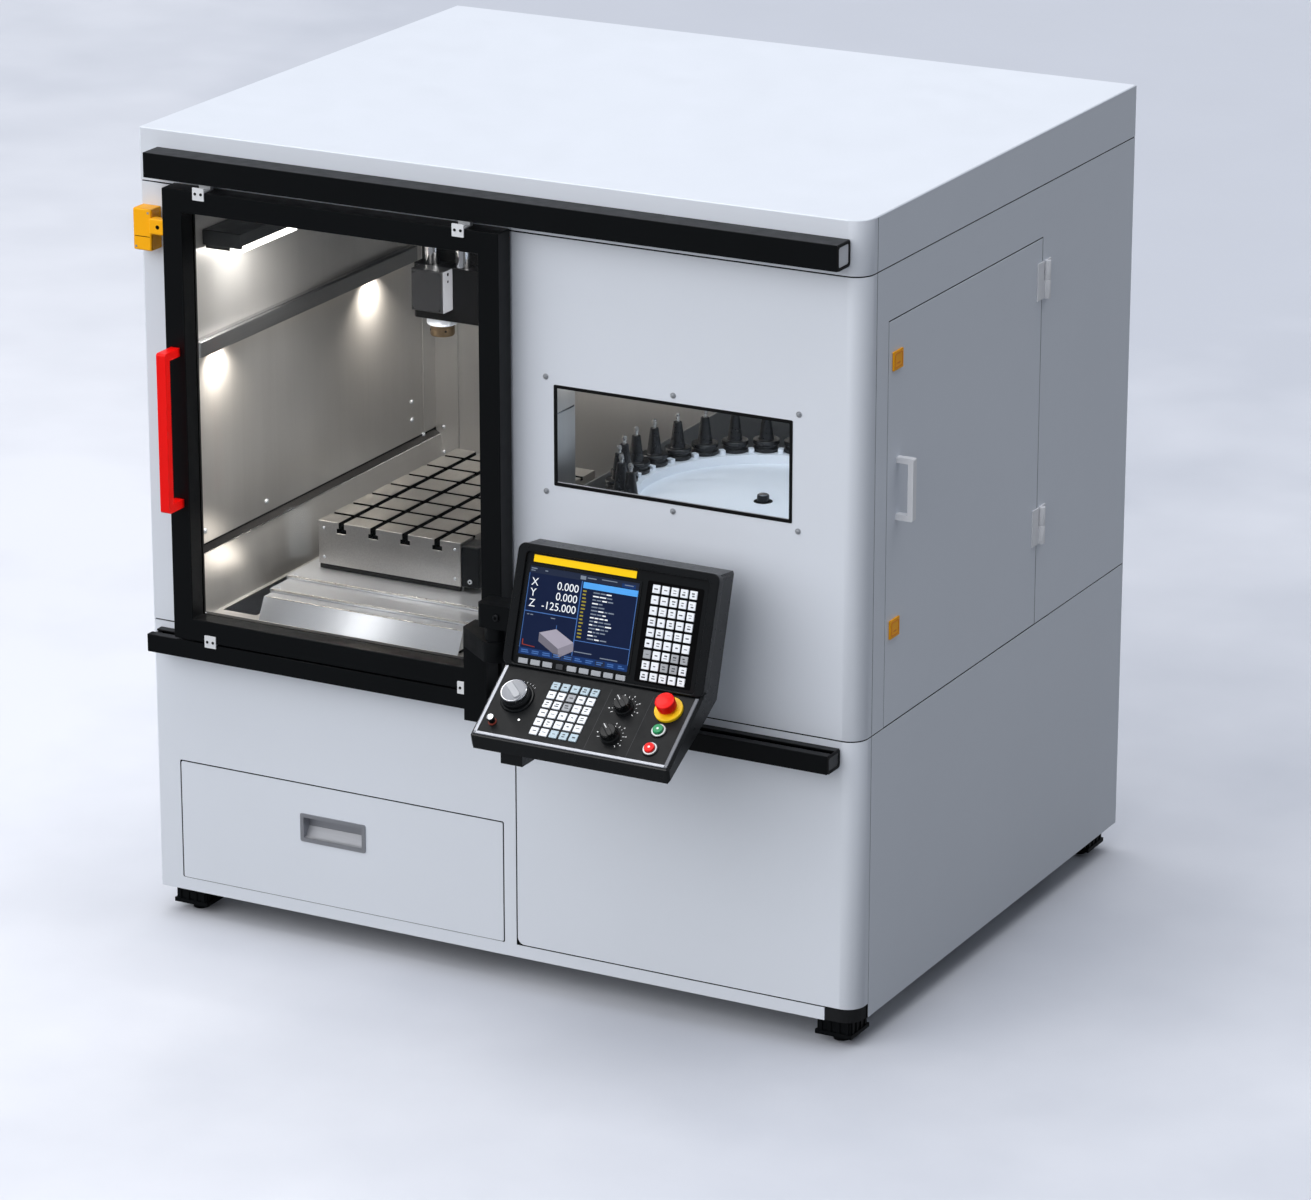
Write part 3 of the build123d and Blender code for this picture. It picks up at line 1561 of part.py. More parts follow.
# Fixed collars round the emergency stop, the two push buttons, the dial and the selectors
with BuildPart() as control_bezels:
    with BuildSketch(console_plane):
        with Locations(stop_at):
            Circle(stop_collar_radius)
            Circle(stop_neck_radius + well_gap, mode=Mode.SUBTRACT)
    extrude(amount=stop_collar_height)
    with BuildSketch(console_plane):
        with Locations(*pushes_at):
            Circle(push_collar_radius)
            Circle(push_radius + well_gap, mode=Mode.SUBTRACT)
    extrude(amount=push_collar_height)
    with BuildSketch(console_plane):
        with Locations(*selectors_at):
            Circle(selector_base_radius)
            Circle(stem_radius + well_gap, mode=Mode.SUBTRACT)
    extrude(amount=selector_base_height)
    with BuildSketch(console_plane):
        with Locations(dial_at):
            Circle(dial_base_radius)
            Circle(stem_radius + well_gap, mode=Mode.SUBTRACT)
    extrude(amount=dial_base_height)
control_bezels.part.label = "control_bezels"
export_step(control_bezels.part, "parts/control_bezels.step")


def turned_knob(place, low, radius, height):
    """A knob on the console: grip above its base ring and a stem down into the housing."""
    with BuildSketch(console_plane.offset(low + running_gap)) as grip:
        with Locations(place):
            Circle(radius)
    extrude(grip.sketch, amount=height)
    with BuildSketch(console_plane.offset(low + running_gap)) as stem:
        with Locations(place):
            Circle(stem_radius)
    extrude(stem.sketch, amount=-low - stem_depth)


# Dial of the handwheel
with BuildPart() as handwheel:
    turned_knob(dial_at, dial_base_height, dial_radius, dial_height)
handwheel.part.label = "handwheel"
export_step(handwheel.part, "parts/handwheel.step")

# Upper rotary selector
with BuildPart() as upper_selector:
    turned_knob(selectors_at[0], selector_base_height, selector_radius, selector_height)
upper_selector.part.label = "upper_selector"
export_step(upper_selector.part, "parts/upper_selector.step")

# Lower rotary selector
with BuildPart() as lower_selector:
    turned_knob(selectors_at[1], selector_base_height, selector_radius, selector_height)
lower_selector.part.label = "lower_selector"
export_step(lower_selector.part, "parts/lower_selector.step")

# Emergency stop: mushroom head on a neck through its collar
with BuildPart() as emergency_stop:
    with BuildSketch(console_plane.offset(stop_collar_height + stop_travel + running_gap)):
        with Locations(stop_at):
            Circle(stop_head_radius)
    extrude(amount=stop_head_height)
    chamfer(emergency_stop.edges().sort_by(Axis(console_plane.origin, console_plane.z_dir))[-1], stop_edge)
    with BuildSketch(console_plane.offset(stop_collar_height + stop_travel + running_gap)):
        with Locations(stop_at):
            Circle(stop_neck_radius)
    extrude(amount=-stop_collar_height)
    with BuildSketch(console_plane.offset(stop_collar_height)):
        with Locations(stop_at):
            Circle(stem_radius)
    extrude(amount=-stop_collar_height - stem_depth)
emergency_stop.part.label = "emergency_stop"
export_step(emergency_stop.part, "parts/emergency_stop.step")


def push_button(place):
    """A push button cap proud of its collar, on a stem down into the housing."""
    with BuildSketch(console_plane.offset(push_stand)) as cap:
        with Locations(place):
            Circle(push_radius)
    extrude(cap.sketch, amount=push_collar_height)
    with BuildSketch(console_plane.offset(push_stand)) as stem:
        with Locations(place):
            Circle(stem_radius)
    extrude(stem.sketch, amount=-push_stand - stem_depth)


# Start button
with BuildPart() as start_button:
    push_button(pushes_at[0])
start_button.part.label = "start_button"
export_step(start_button.part, "parts/start_button.step")

# Stop button
with BuildPart() as stop_button:
    push_button(pushes_at[1])
stop_button.part.label = "stop_button"
export_step(stop_button.part, "parts/stop_button.step")

swivel_x = left + swivel_inset
swivel_y = front - swivel_stand
bracket_foot = foot + bracket_rise
arm_foot = foot + arm_rise
arm_top = arm_foot + arm_height

# Pendant bracket, turning on the arm's pin
with BuildPart() as pendant_bracket:
    with BuildSketch(Plane.XY.offset(bracket_foot)):
        with Locations(((left + bracket_inset + pendant_left) / 2, swivel_y)):
            Rectangle(pendant_left - left - bracket_inset, bracket_depth)
    extrude(amount=bracket_height)
    fillet(pendant_bracket.edges().filter_by(Axis.Z).group_by(Axis.X)[0], bracket_radius)
    with Locations((swivel_x, swivel_y, bracket_foot)):
        Cylinder(
            swivel_pin_radius + bore_gap,
            swivel_pin_height + running_gap,
            align=(Align.CENTER, Align.CENTER, Align.MIN),
            mode=Mode.SUBTRACT,
        )
pendant_bracket.part.label = "pendant_bracket"
export_step(pendant_bracket.part, "parts/pendant_bracket.step")

# Pendant arm: post on the lower rail, level arm with a rounded end, boss and pin
with BuildPart() as pendant_arm:
    post_middle_x = left + sum(post_insets) / 2
    post_back = front - post_clear
    with BuildSketch(Plane.XY.offset(foot + post_foot_rise)):
        with Locations((post_middle_x, post_back - post_depth / 2)):
            Rectangle(post_width, post_depth)
    extrude(amount=arm_top - foot - post_foot_rise)
    span(
        (left + post_insets[0], left + post_insets[1]),
        (post_back, rail_front),
        (foot + post_foot_rise, foot + post_foot_rise + post_foot_height - hanger_upstand - hanger_plate),
    )
    with BuildSketch(Plane.XY.offset(arm_foot)):
        with Locations((post_middle_x, post_back - post_depth / 2)):
            Rectangle(post_width, post_depth)
        with Locations((swivel_x, swivel_y)):
            Circle(arm_end_radius)
        make_hull()
    extrude(amount=arm_height)
    with Locations((swivel_x, swivel_y, arm_foot)):
        Cylinder(
            swivel_boss_radius,
            bracket_foot - arm_foot - running_gap,
            align=(Align.CENTER, Align.CENTER, Align.MIN),
        )
        Cylinder(
            swivel_pin_radius,
            bracket_foot - arm_foot + swivel_pin_height,
            align=(Align.CENTER, Align.CENTER, Align.MIN),
        )
pendant_arm.part.label = "pendant_arm"
export_step(pendant_arm.part, "parts/pendant_arm.step")
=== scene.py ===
import json
import math
import random

import bmesh
import bpy
from mathutils import Matrix, Vector


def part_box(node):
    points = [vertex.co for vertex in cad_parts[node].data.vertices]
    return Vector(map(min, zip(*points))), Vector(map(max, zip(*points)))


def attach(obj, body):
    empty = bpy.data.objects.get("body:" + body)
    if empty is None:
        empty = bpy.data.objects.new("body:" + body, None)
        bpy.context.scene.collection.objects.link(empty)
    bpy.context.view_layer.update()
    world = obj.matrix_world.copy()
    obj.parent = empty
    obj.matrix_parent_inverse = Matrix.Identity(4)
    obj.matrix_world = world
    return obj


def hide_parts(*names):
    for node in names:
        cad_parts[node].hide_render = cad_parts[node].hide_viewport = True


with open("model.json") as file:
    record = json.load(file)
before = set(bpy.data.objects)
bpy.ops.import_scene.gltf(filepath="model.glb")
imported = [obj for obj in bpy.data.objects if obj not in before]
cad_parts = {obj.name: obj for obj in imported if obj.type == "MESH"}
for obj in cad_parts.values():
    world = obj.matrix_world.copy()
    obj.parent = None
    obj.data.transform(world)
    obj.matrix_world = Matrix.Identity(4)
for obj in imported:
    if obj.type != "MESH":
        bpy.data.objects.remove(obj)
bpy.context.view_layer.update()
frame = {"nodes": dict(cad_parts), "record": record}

# Enclosed machining centre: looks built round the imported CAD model.
# Sizes in the pieces are millimetres; each piece is set into the row frame by its own place matrix.

nodes = frame["nodes"]
scene = bpy.context.scene
chance = random.Random(11)
MM = 0.001

# Places
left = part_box("left_side_panel")[0].x
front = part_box("front_panel")[0].y
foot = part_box("lower_front_panel")[0].z
CABINET = Matrix.Translation((left, front, foot)) @ Matrix.Diagonal((MM, MM, MM, 1))


def local(node):
    """Lowest and highest corner of a CAD node, in millimetres of the cabinet's own frame."""
    to_cabinet = CABINET.inverted()
    low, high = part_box(node)
    return to_cabinet @ low, to_cabinet @ high


def slope_place(origin, run, drop):
    """Place of a sloping face: first axis across, second up the slope, third out of the face."""
    across = Vector((1, 0, 0))
    up = Vector((0, run, drop)).normalized()
    turn = Matrix((across, up, across.cross(up))).transposed().to_4x4()
    return Matrix.Translation(origin) @ turn @ Matrix.Diagonal((MM, MM, MM, 1))


# The pendant's two faces, from the housing's box and the runs and drops of its profile
pendant_low, pendant_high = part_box("pendant_housing")
FACE_RUN, FACE_DROP = 75, 233
CONSOLE_RUN, CONSOLE_DROP = 147, 108
pendant_width = (pendant_high.x - pendant_low.x) / MM
face_length = math.hypot(FACE_RUN, FACE_DROP)
console_length = math.hypot(CONSOLE_RUN, CONSOLE_DROP)
fold = Vector((pendant_low.x, pendant_low.y + CONSOLE_RUN * MM, pendant_high.z - FACE_DROP * MM))
FACE = slope_place((pendant_low.x, fold.y + FACE_RUN * MM, pendant_high.z), FACE_RUN, FACE_DROP)
CONSOLE = slope_place(fold, CONSOLE_RUN, CONSOLE_DROP)


# Materials

def linear(red, green, blue):
    """Scene-linear colour of a colour written in the usual 0 to 255 values."""
    def channel(value):
        share = value / 255
        return share / 12.92 if share <= 0.04045 else ((share + 0.055) / 1.055) ** 2.4
    return channel(red), channel(green), channel(blue), 1


def scaled(colour, factor):
    """A colour made lighter or darker."""
    return tuple(min(1, channel * factor) for channel in colour[:3]) + (1,)


class Finish:
    """A procedural material: colour, roughness and bump come from noise in object space."""

    def __init__(self, name):
        self.material = bpy.data.materials.new(name)
        self.material.use_nodes = True
        self.tree = self.material.node_tree
        self.shader = self.tree.nodes["Principled BSDF"]

    def put(self, socket, value):
        """Gives a socket a plain value or the output of another node."""
        if isinstance(value, bpy.types.NodeSocket):
            self.tree.links.new(value, socket)
        else:
            socket.default_value = value

    def fill(self, owner, inputs):
        for key, value in inputs.items():
            self.put(owner.inputs[key.replace("_", " ")], value)
        return owner

    def node(self, kind, **inputs):
        return self.fill(self.tree.nodes.new("ShaderNode" + kind), inputs)

    def set(self, **inputs):
        """Gives the shader its values."""
        self.fill(self.shader, inputs)

    def noise(self, scale, detail=3, stretch=(1, 1, 1)):
        coords = self.node("TexCoord").outputs["Object"]
        mapping = self.node("Mapping", Vector=coords, Scale=stretch)
        noise = self.node("TexNoise", Vector=mapping.outputs["Vector"], Scale=scale, Detail=detail)
        return noise.outputs["Fac"]

    def spread(self, value, low, high, start=0.3, end=0.7):
        mapped = self.node("MapRange", Value=value, From_Min=start, From_Max=end, To_Min=low, To_Max=high)
        return mapped.outputs["Result"]

    def tint(self, value, dark, light):
        ramp = self.node("ValToRGB", Fac=value)
        for element, position, colour in zip(ramp.color_ramp.elements, (0.3, 0.7), (dark, light)):
            element.position = position
            element.color = colour
        return ramp.outputs["Color"]

    def sum(self, kind, *values):
        """A calculation on numbers and outputs of other nodes."""
        made = self.node("Math")
        made.operation = kind
        for socket, value in zip(made.inputs, values):
            self.put(socket, value)
        return made.outputs[0]

    def mix(self, kind, factor, plain, other):
        """Mixes two numbers or two colours."""
        made = self.node("Mix")
        made.data_type = kind
        self.fill(made, {"Factor": factor, "A": plain, "B": other})
        return made.outputs["Result"]

    def bump(self, value, strength, distance):
        bump = self.node("Bump", Height=value, Strength=strength, Distance=distance)
        self.set(Normal=bump.outputs["Normal"])


def coat(name, colour, roughness, grain=900, depth=0.1, mottle=0.03, cloud=4, specular=0.5, metallic=0):
    """Paint, plastic or plain metal: fine grain, faint clouds of colour and uneven gloss."""
    finish = Finish(name)
    colour = linear(*colour)
    clouds = finish.noise(cloud, 4)
    finish.set(
        Metallic=metallic, Specular_IOR_Level=specular,
        Base_Color=finish.tint(clouds, scaled(colour, 1 - mottle), scaled(colour, 1 + mottle)),
        Roughness=finish.spread(finish.noise(cloud * 7, 3), roughness - 0.04, roughness + 0.04),
    )
    finish.bump(finish.noise(grain, 2), depth, MM)
    return finish.material


def brushed(name, colour, roughness, stretch, anisotropy=0.4, streak=0.12, grain=60, depth=0.04, metallic=1,
            fine=0.5, wander=0.025):
    """Brushed or ground metal: fine lines along one direction over soft bands."""
    finish = Finish(name)
    lines = finish.noise(grain, 4, stretch)
    bands = finish.noise(5, 3, tuple(max(0.25, share) for share in stretch))
    bands = finish.spread(bands, 0.3 * (1 - fine), 0.7 * (1 - fine))
    mixed = finish.sum("MULTIPLY_ADD", lines, fine, bands)
    colour = linear(*colour)
    finish.set(
        Metallic=metallic, Anisotropic=anisotropy,
        Base_Color=finish.tint(mixed, scaled(colour, 1 - streak), scaled(colour, 1 + streak)),
        Roughness=finish.spread(lines, roughness - wander, roughness + wander),
    )
    finish.bump(lines, depth, MM)
    return finish.material


def pane(name):
    """Clear sheet: reflects by Fresnel and lets the rest through."""
    finish = Finish(name)
    fresnel = finish.node("Fresnel", IOR=1.3).outputs[0]
    finish.set(
        Metallic=1, Base_Color=linear(235, 243, 248), Specular_IOR_Level=0.5,
        Roughness=finish.spread(finish.noise(9, 2), 0.01, 0.04), Alpha=finish.spread(fresnel, 0, 0.32, 0, 1),
    )
    return finish.material


def glowing(name, colour, strength):
    """A lit surface, faintly uneven as a diffuser is."""
    finish = Finish(name)
    colour = linear(*colour)
    toned = finish.tint(finish.noise(30, 2), scaled(colour, 0.94), colour)
    finish.set(
        Roughness=0.5, Specular_IOR_Level=0.06, Emission_Strength=strength, Emission_Color=toned,
        Base_Color=toned,
    )
    return finish.material


FINISH = {
    "cabinet_paint": coat("powder_coat_grey", (214, 220, 230), 0.45, 700, 0.06, 0.012, 2),
    "black_metal": coat("satin_black_coat", (9, 11, 13), 0.38, 900, 0.06, 0.1, 6, 0.16),
    "black_plastic": coat("black_moulding", (13, 15, 17), 0.3, 1500, 0.05, 0.06, 8, 0.35),
    "red_plastic": coat("red_moulding", (240, 10, 5), 0.34, 1200, 0.05, 0.03, 4, 0.3),
    "green_plastic": coat("green_moulding", (0, 142, 84), 0.32, 1200, 0.04, 0.04),
    "yellow_plastic": coat("yellow_moulding", (255, 178, 2), 0.4, 1200, 0.06, 0.03, 4, 0.3),
    "orange_plastic": coat("orange_moulding", (255, 174, 8), 0.42, 1200, 0.06, 0.03, 4, 0.3),
    "grey_plastic": coat("grey_moulding", (168, 170, 176), 0.4, 1200, 0.06, 0.03),
    "white_plastic": coat("white_moulding", (232, 237, 244), 0.42, 1100, 0.05, 0.015),
    "pane": pane("clear_pane"),
    "stainless": brushed(
        "brushed_stainless", (194, 193, 191), 0.33, (1, 1, 0.02), 0.3, 0.1, 120, 0.002, 0.85, 0.2
    ),
    "ground_steel": brushed("ground_steel", (196, 193, 188), 0.28, (1, 0.03, 1), 0.2, 0.08, 300, 0.03),
    "iron": coat("dark_machine_enamel", (7, 7, 8), 0.5, 500, 0.12, 0.08, 12, 0.12),
    "bright": brushed("bright_steel", (214, 214, 216), 0.12, (1, 1, 0.05), 0.0, 0.03, 200, 0.01),
    "alloy": brushed("satin_alloy", (206, 208, 213), 0.36, (0.05, 1, 1), 0.2, 0.06, 300, 0.03, 0.6),
    "frame_steel": coat("frame_enamel", (92, 96, 102), 0.5, 500, 0.1, 0.06),
}


# Shapes

def rounded(width, height, radius, centre=(0, 0), steps=5):
    """Points of a rounded rectangle, anticlockwise."""
    points = []
    for quarter in range(4):
        side_x = 1 if quarter in (0, 3) else -1
        side_y = 1 if quarter in (0, 1) else -1
        for step in range(steps + 1):
            turn = math.pi / 2 * (quarter + step / steps)
            points.append((
                centre[0] + side_x * (width / 2 - radius) + radius * math.cos(turn),
                centre[1] + side_y * (height / 2 - radius) + radius * math.sin(turn),
            ))
    return points


def circle(radius, points=48):
    """Points of a circle."""
    turns = [2 * math.pi * step / points for step in range(points)]
    return [(radius * math.cos(turn), radius * math.sin(turn)) for turn in turns]


def skin(part, loops):
    """Faces between each loop of points and the next."""
    for near, far in zip(loops, loops[1:]):
        for step in range(len(near)):
            after = (step + 1) % len(near)
            part.faces.new((near[step], near[after], far[after], far[step]))


class Piece:
    """One scene object under construction: shapes in millimetres, each with its own material."""

    def __init__(self, name, place=CABINET):
        self.name = name
        self.place = place
        self.shape = bmesh.new()
        self.materials = []

    def join(self, part, material, bevel=0, steps=2):
        """Rounds the edges of a shape and takes it into the piece."""
        if material not in self.materials:
            self.materials.append(material)
        if bevel:
            part.normal_update()
            sharp = [edge for edge in part.edges if edge.calc_face_angle(0) > 0.5]
            bmesh.ops.bevel(
                part, geom=sharp, offset=bevel, segments=steps, profile=0.5, affect="EDGES",
                clamp_overlap=True,
            )
        bmesh.ops.recalc_face_normals(part, faces=part.faces)
        for face in part.faces:
            face.material_index = self.materials.index(material)
            face.smooth = True
        carrier = bpy.data.meshes.new("carrier")
        part.to_mesh(carrier)
        part.free()
        self.shape.from_mesh(carrier)
        bpy.data.meshes.remove(carrier)
        return self

    def block(self, low, high, material, bevel=0.6, steps=2):
        """Block between two corners."""
        part = bmesh.new()
        bmesh.ops.create_cube(part, size=1)
        low, high = Vector(low), Vector(high)
        size = high - low
        part.transform(Matrix.Translation((low + high) / 2) @ Matrix.Diagonal((*size, 1)))
        return self.join(part, material, min(bevel, 0.45 * min(size)), steps)

    def turned(self, profile, at, material, axis=(0, 0, 1), bevel=0, segments=40):
        """Turned shape: radius and height pairs from one end to the other, about an axis through a point."""
        part = bmesh.new()
        rings = [
            [part.verts.new((x, y, height)) for x, y in circle(radius, segments)]
            for radius, height in profile
        ]
        skin(part, rings)
        part.faces.new(rings[0][::-1])
        part.faces.new(rings[-1])
        turn = Vector((0, 0, 1)).rotation_difference(Vector(axis)).to_matrix().to_4x4()
        part.transform(Matrix.Translation(at) @ turn)
        return self.join(part, material, bevel)

    def prism(self, outline, low, high, material, bevel=0, steps=2, place=None):
        """Outline in the first two axes, drawn out along the third."""
        part = bmesh.new()
        base = part.faces.new([part.verts.new((x, y, low)) for x, y in outline])
        grown = bmesh.ops.extrude_face_region(part, geom=[base])
        tops = [item for item in grown["geom"] if isinstance(item, bmesh.types.BMVert)]
        bmesh.ops.translate(part, verts=tops, vec=(0, 0, high - low))
        if place:
            part.transform(place)
        return self.join(part, material, bevel, steps)

    def ring(self, outer, inner, low, high, material, bevel=0, steps=2, place=None):
        """Flat ring between two outlines with as many points each."""
        part = bmesh.new()
        loops = [
            [part.verts.new((x, y, level)) for x, y in outline]
            for outline, level in ((outer, low), (outer, high), (inner, high), (inner, low))
        ]
        skin(part, loops + loops[:1])
        if place:
            part.transform(place)
        return self.join(part, material, bevel, steps)

    def words(self, text, at, height, material, align="LEFT"):
        """Flat characters of a display, standing on the first axis."""
        curve = bpy.data.curves.new("characters", "FONT")
        curve.body = text
        curve.size = height
        curve.align_x = align
        carrier = bpy.data.objects.new("characters", curve)
        part = bmesh.new()
        flat = carrier.to_mesh()
        part.from_mesh(flat)
        carrier.to_mesh_clear()
        bpy.data.objects.remove(carrier)
        part.transform(Matrix.Translation(at))
        return self.join(part, material)

    def finish(self, body, slot, *replaced):
        """Makes the object, sets it on its body and hides the CAD nodes that it stands for."""
        for edge in self.shape.edges:
            edge.smooth = edge.calc_face_angle(0) < 0.6
        self.shape.transform(self.place)
        mesh = bpy.data.meshes.new(self.name)
        self.shape.to_mesh(mesh)
        self.shape.free()
        for material in self.materials:
            mesh.materials.append(material)
        made = bpy.data.objects.new(self.name, mesh)
        scene.collection.objects.link(made)
        made.modifiers.new("normals", "WEIGHTED_NORMAL").keep_sharp = True
        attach(made, body)
        if replaced:
            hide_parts(*replaced)
        return made


FORWARD = (0, -1, 0)


def dome_screw(piece, at, axis, radius, material):
    """Round-headed screw or rivet with a small flat."""
    shares = ((1, 0.25), (0.86, 0.5), (0.5, 0.72), (0.12, 0.8))
    profile = [(radius, -0.3)] + [(out * radius, up * radius) for out, up in shares]
    piece.turned(profile, at, material, axis, segments=20)


def socket_screw(piece, at, axis, radius, material, dark):
    """Cap screw whose socket is a thin dark disc, painted shade standing for the hole."""
    profile = [(radius, -0.2), (radius, 0.5 * radius), (0.9 * radius, 0.62 * radius)]
    piece.turned(profile, at, material, axis, segments=24)
    top = Vector(at) + 0.62 * radius * Vector(axis)
    piece.turned([(0.5 * radius, 0), (0.5 * radius, 0.05)], top, dark, axis, segments=6)


# CAD nodes keep their shape and get their finish and softened edges
EDGE = {
    "door_frame": 2.0, "upper_rail": 2.0, "lower_rail": 2.0, "door_handle": 4.0, "pendant_housing": 5.0,
    "pendant_arm": 3.0, "pendant_bracket": 3.0, "interlock_switch": 2.5, "interlock_key": 4.0,
    "side_door_handle": 3.0, "table": 1.2, "drawer_pull": 1.0, "latch_pads": 1.5, "chip_drawer": 1.3,
    "side_door": 1.1,
}
PLAIN_EDGE = 0.9
PANEL_EDGE = 0.35
for entry in frame["record"]["subparts"]:
    node = nodes[entry["node"]]
    node.data.materials.clear()
    node.data.materials.append(FINISH[entry["material_slot"]])
    if entry["material_slot"] == "pane":
        continue
    weld = node.modifiers.new("weld", "WELD")
    weld.merge_threshold = 0.02 * MM
    bevel = node.modifiers.new("edges", "BEVEL")
    plain = PANEL_EDGE if entry["material_slot"] == "cabinet_paint" else PLAIN_EDGE
    bevel.width = EDGE.get(entry["node"], plain) * MM
    bevel.segments = 3
    bevel.limit_method = "ANGLE"
    bevel.angle_limit = math.radians(50)
    bevel.harden_normals = True

black = FINISH["black_metal"]
moulding = FINISH["black_plastic"]
steel = FINISH["ground_steel"]
stainless = FINISH["stainless"]
alloy = FINISH["alloy"]
rubber = coat("black_rubber", (12, 12, 13), 0.7, 700, 0.1, 0.05, 9, 0.25)
# Deep black: the keypad's own black inset, and painted shade in sockets, holes, gaps and the line at the
# ledge
black_and_painted_shade = coat("deep_black_and_painted_shade", (5, 5, 6), 0.8, 700, 0.02, 0.02, 9, 0.1)


def table_finish():
    """Ground steel whose slots and grooves are painted near black as the shade inside them."""
    finish = Finish("table_steel")
    low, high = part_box("table")
    colour = linear(176, 174, 171)
    lines = finish.noise(420, 4, (1, 0.03, 1))
    toned = finish.tint(lines, scaled(colour, 0.86), scaled(colour, 1.08))
    axes = finish.node("SeparateXYZ", Vector=finish.node("TexCoord").outputs["Object"]).outputs
    skin_depth, slot_depth, edge = 0.9 * MM, 26 * MM, 0.8 * MM
    limits = (
        ("Z", "LESS_THAN", high.z - skin_depth), ("Z", "GREATER_THAN", high.z - slot_depth),
        ("Y", "GREATER_THAN", low.y + edge), ("Y", "LESS_THAN", high.y - edge),
        ("X", "GREATER_THAN", low.x + edge), ("X", "LESS_THAN", high.x - edge),
    )
    # Mask of the slots' and grooves' inner faces, painted near black as shade
    painted_slot_shade = 1
    for axis, kind, limit in limits:
        painted_slot_shade = finish.sum("MULTIPLY", finish.sum(kind, axes[axis], limit), painted_slot_shade)
    finish.set(
        Metallic=1, Anisotropic=0.2, Base_Color=finish.mix("RGBA", painted_slot_shade, toned, linear(4, 4, 4)),
        Roughness=finish.mix("FLOAT", painted_slot_shade, finish.spread(lines, 0.28, 0.4), 0.85),
    )
    finish.bump(lines, 0.03, MM)
    return finish.material


# CAD nodes whose finish differs from that of their slot
silver = coat("silver_grip", (226, 228, 233), 0.33, 1000, 0.05, 0.02)
pull_metal = brushed("pull_metal", (168, 170, 177), 0.36, (0.05, 1, 1), 0.2, 0.06, 300, 0.03, 0.7)
cover_metal = brushed(
    "cover_sheet", (212, 214, 217), 0.3, (0.01, 1, 1), 0.2, 0.06, 900, 0.0006, 0.87, 0.25, 0.012
)
OWN_FINISH = {
    "table": table_finish(),
    "side_door_handle": silver, "hinge_leaves_fixed": silver, "hinge_leaves_moving": silver,
    # Base frame near black: painted shade for the dark space under the cabinet
    "base_frame": coat("base_frame_painted_shade", (26, 27, 29), 0.55, 500, 0.1, 0.06, 4, 0.3),
    "door_hangers": coat("zinc_plate", (226, 229, 233), 0.35, 700, 0.05, 0.03, 20, 0.4, 0.15),
    "rail_end_caps": coat("cap_grey", (206, 209, 214), 0.4, 1200, 0.06, 0.03),
    "drawer_pull": pull_metal,
    "way_cover_front": cover_metal, "way_cover_middle": cover_metal, "way_cover_rear": cover_metal,
    "head_cover": coat("head_box_grey", (34, 35, 37), 0.38, 900, 0.08, 0.08, 10, 0.35),
}
for name, own in OWN_FINISH.items():
    nodes[name].data.materials[0] = own


# Flat places: the front sheet with its outward axis third, and the right side likewise
cabinet_width = local("right_side_panel")[1].x
FRONT = CABINET @ Matrix(((1, 0, 0, 0), (0, 0, -1, 0), (0, 1, 0, 0), (0, 0, 0, 1)))
RIGHT = CABINET @ Matrix(((0, 0, 1, cabinet_width), (1, 0, 0, 0), (0, 1, 0, 0), (0, 0, 0, 1)))


def face_at(across, down, out=0):
    """Point on the display face from shares of its width and length."""
    return across * pendant_width, -down * face_length, out


def console_at(across, down, out=0):
    """Point on the console from shares of its width and length."""
    return across * pendant_width, -down * console_length, out


# Pendant: display unit
gloss_black = coat("smoked_black", (13, 15, 18), 0.25, 900, 0.01, 0.04, 8, 0.4)
matte_black = coat("matte_black_plate", (13, 15, 17), 0.45, 1600, 0.1, 0.06, 8, 0.25)
chrome = brushed("chrome", (206, 208, 212), 0.16, (1, 1, 1), 0, 0.03, 90, 0.01)
RIM = rounded(459, 250, 16, (226.5, -121), 6)
BEZEL = rounded(419, 229, 8, (226.5, -127), 6)
KEYPAD = rounded(127, 204, 4, (360, -133))
strip_yellow = coat("display_strip_yellow", (255, 205, 0), 0.4, 1200, 0.03, 0.02, 4, 0.15)

display = Piece("display_unit", FACE)
display.ring(RIM, BEZEL, -12, 7, moulding, 3, 3)
display.prism(BEZEL, -1, 1, matte_black)
display.prism(KEYPAD, 0.8, 1.6, black_and_painted_shade, 0.3)
display.block(face_at(0.075, 0.13, 0.8), face_at(0.595, 0.07, 2.6), strip_yellow, 0.5)
display.finish("pendant", "black_plastic")

# The screen and what it shows: axis values, a part view and a listing, all generic
SHADES = {
    "navy": (13, 22, 46), "header": (26, 33, 50), "pale_blue": (70, 140, 205), "line_blue": (58, 92, 146),
    "bar_blue": (20, 44, 88), "white": (205, 209, 214), "grey": (104, 114, 128), "yellow": (128, 118, 44),
    "red": (130, 48, 30), "lilac_top": (138, 134, 146), "lilac_side": (92, 90, 100),
    "lilac_end": (114, 111, 122),
}
GROUND_GLOW, PRINT_GLOW = 0.8, 0.5
shade = {
    name: glowing("screen_" + name, colour, GROUND_GLOW if name in ("navy", "header") else PRINT_GLOW)
    for name, colour in SHADES.items()
}
SCREEN_LEFT, SCREEN_TOP, _ = face_at(0.062, 0.165)
SCREEN_RIGHT, SCREEN_FOOT, _ = face_at(0.615, 0.9)
screen_width = SCREEN_RIGHT - SCREEN_LEFT
screen_height = SCREEN_TOP - SCREEN_FOOT
screen_centre = ((SCREEN_LEFT + SCREEN_RIGHT) / 2, (SCREEN_TOP + SCREEN_FOOT) / 2)
SCREEN_LEVEL, PRINT = 1.2, 0.12

screen = Piece("display_screen", FACE)
screen.ring(
    rounded(screen_width + 12, screen_height + 10, 3, screen_centre),
    rounded(screen_width, screen_height, 0.5, screen_centre), 0.8, 2.6, gloss_black, 0.5,
)


def on_screen(across, down):
    """Point of the screen from shares of its width and height."""
    return SCREEN_LEFT + across * screen_width, SCREEN_TOP - down * screen_height


def printed(layer):
    """Foot and top of a printed layer of the screen."""
    level = SCREEN_LEVEL + PRINT * layer
    return level - PRINT, level


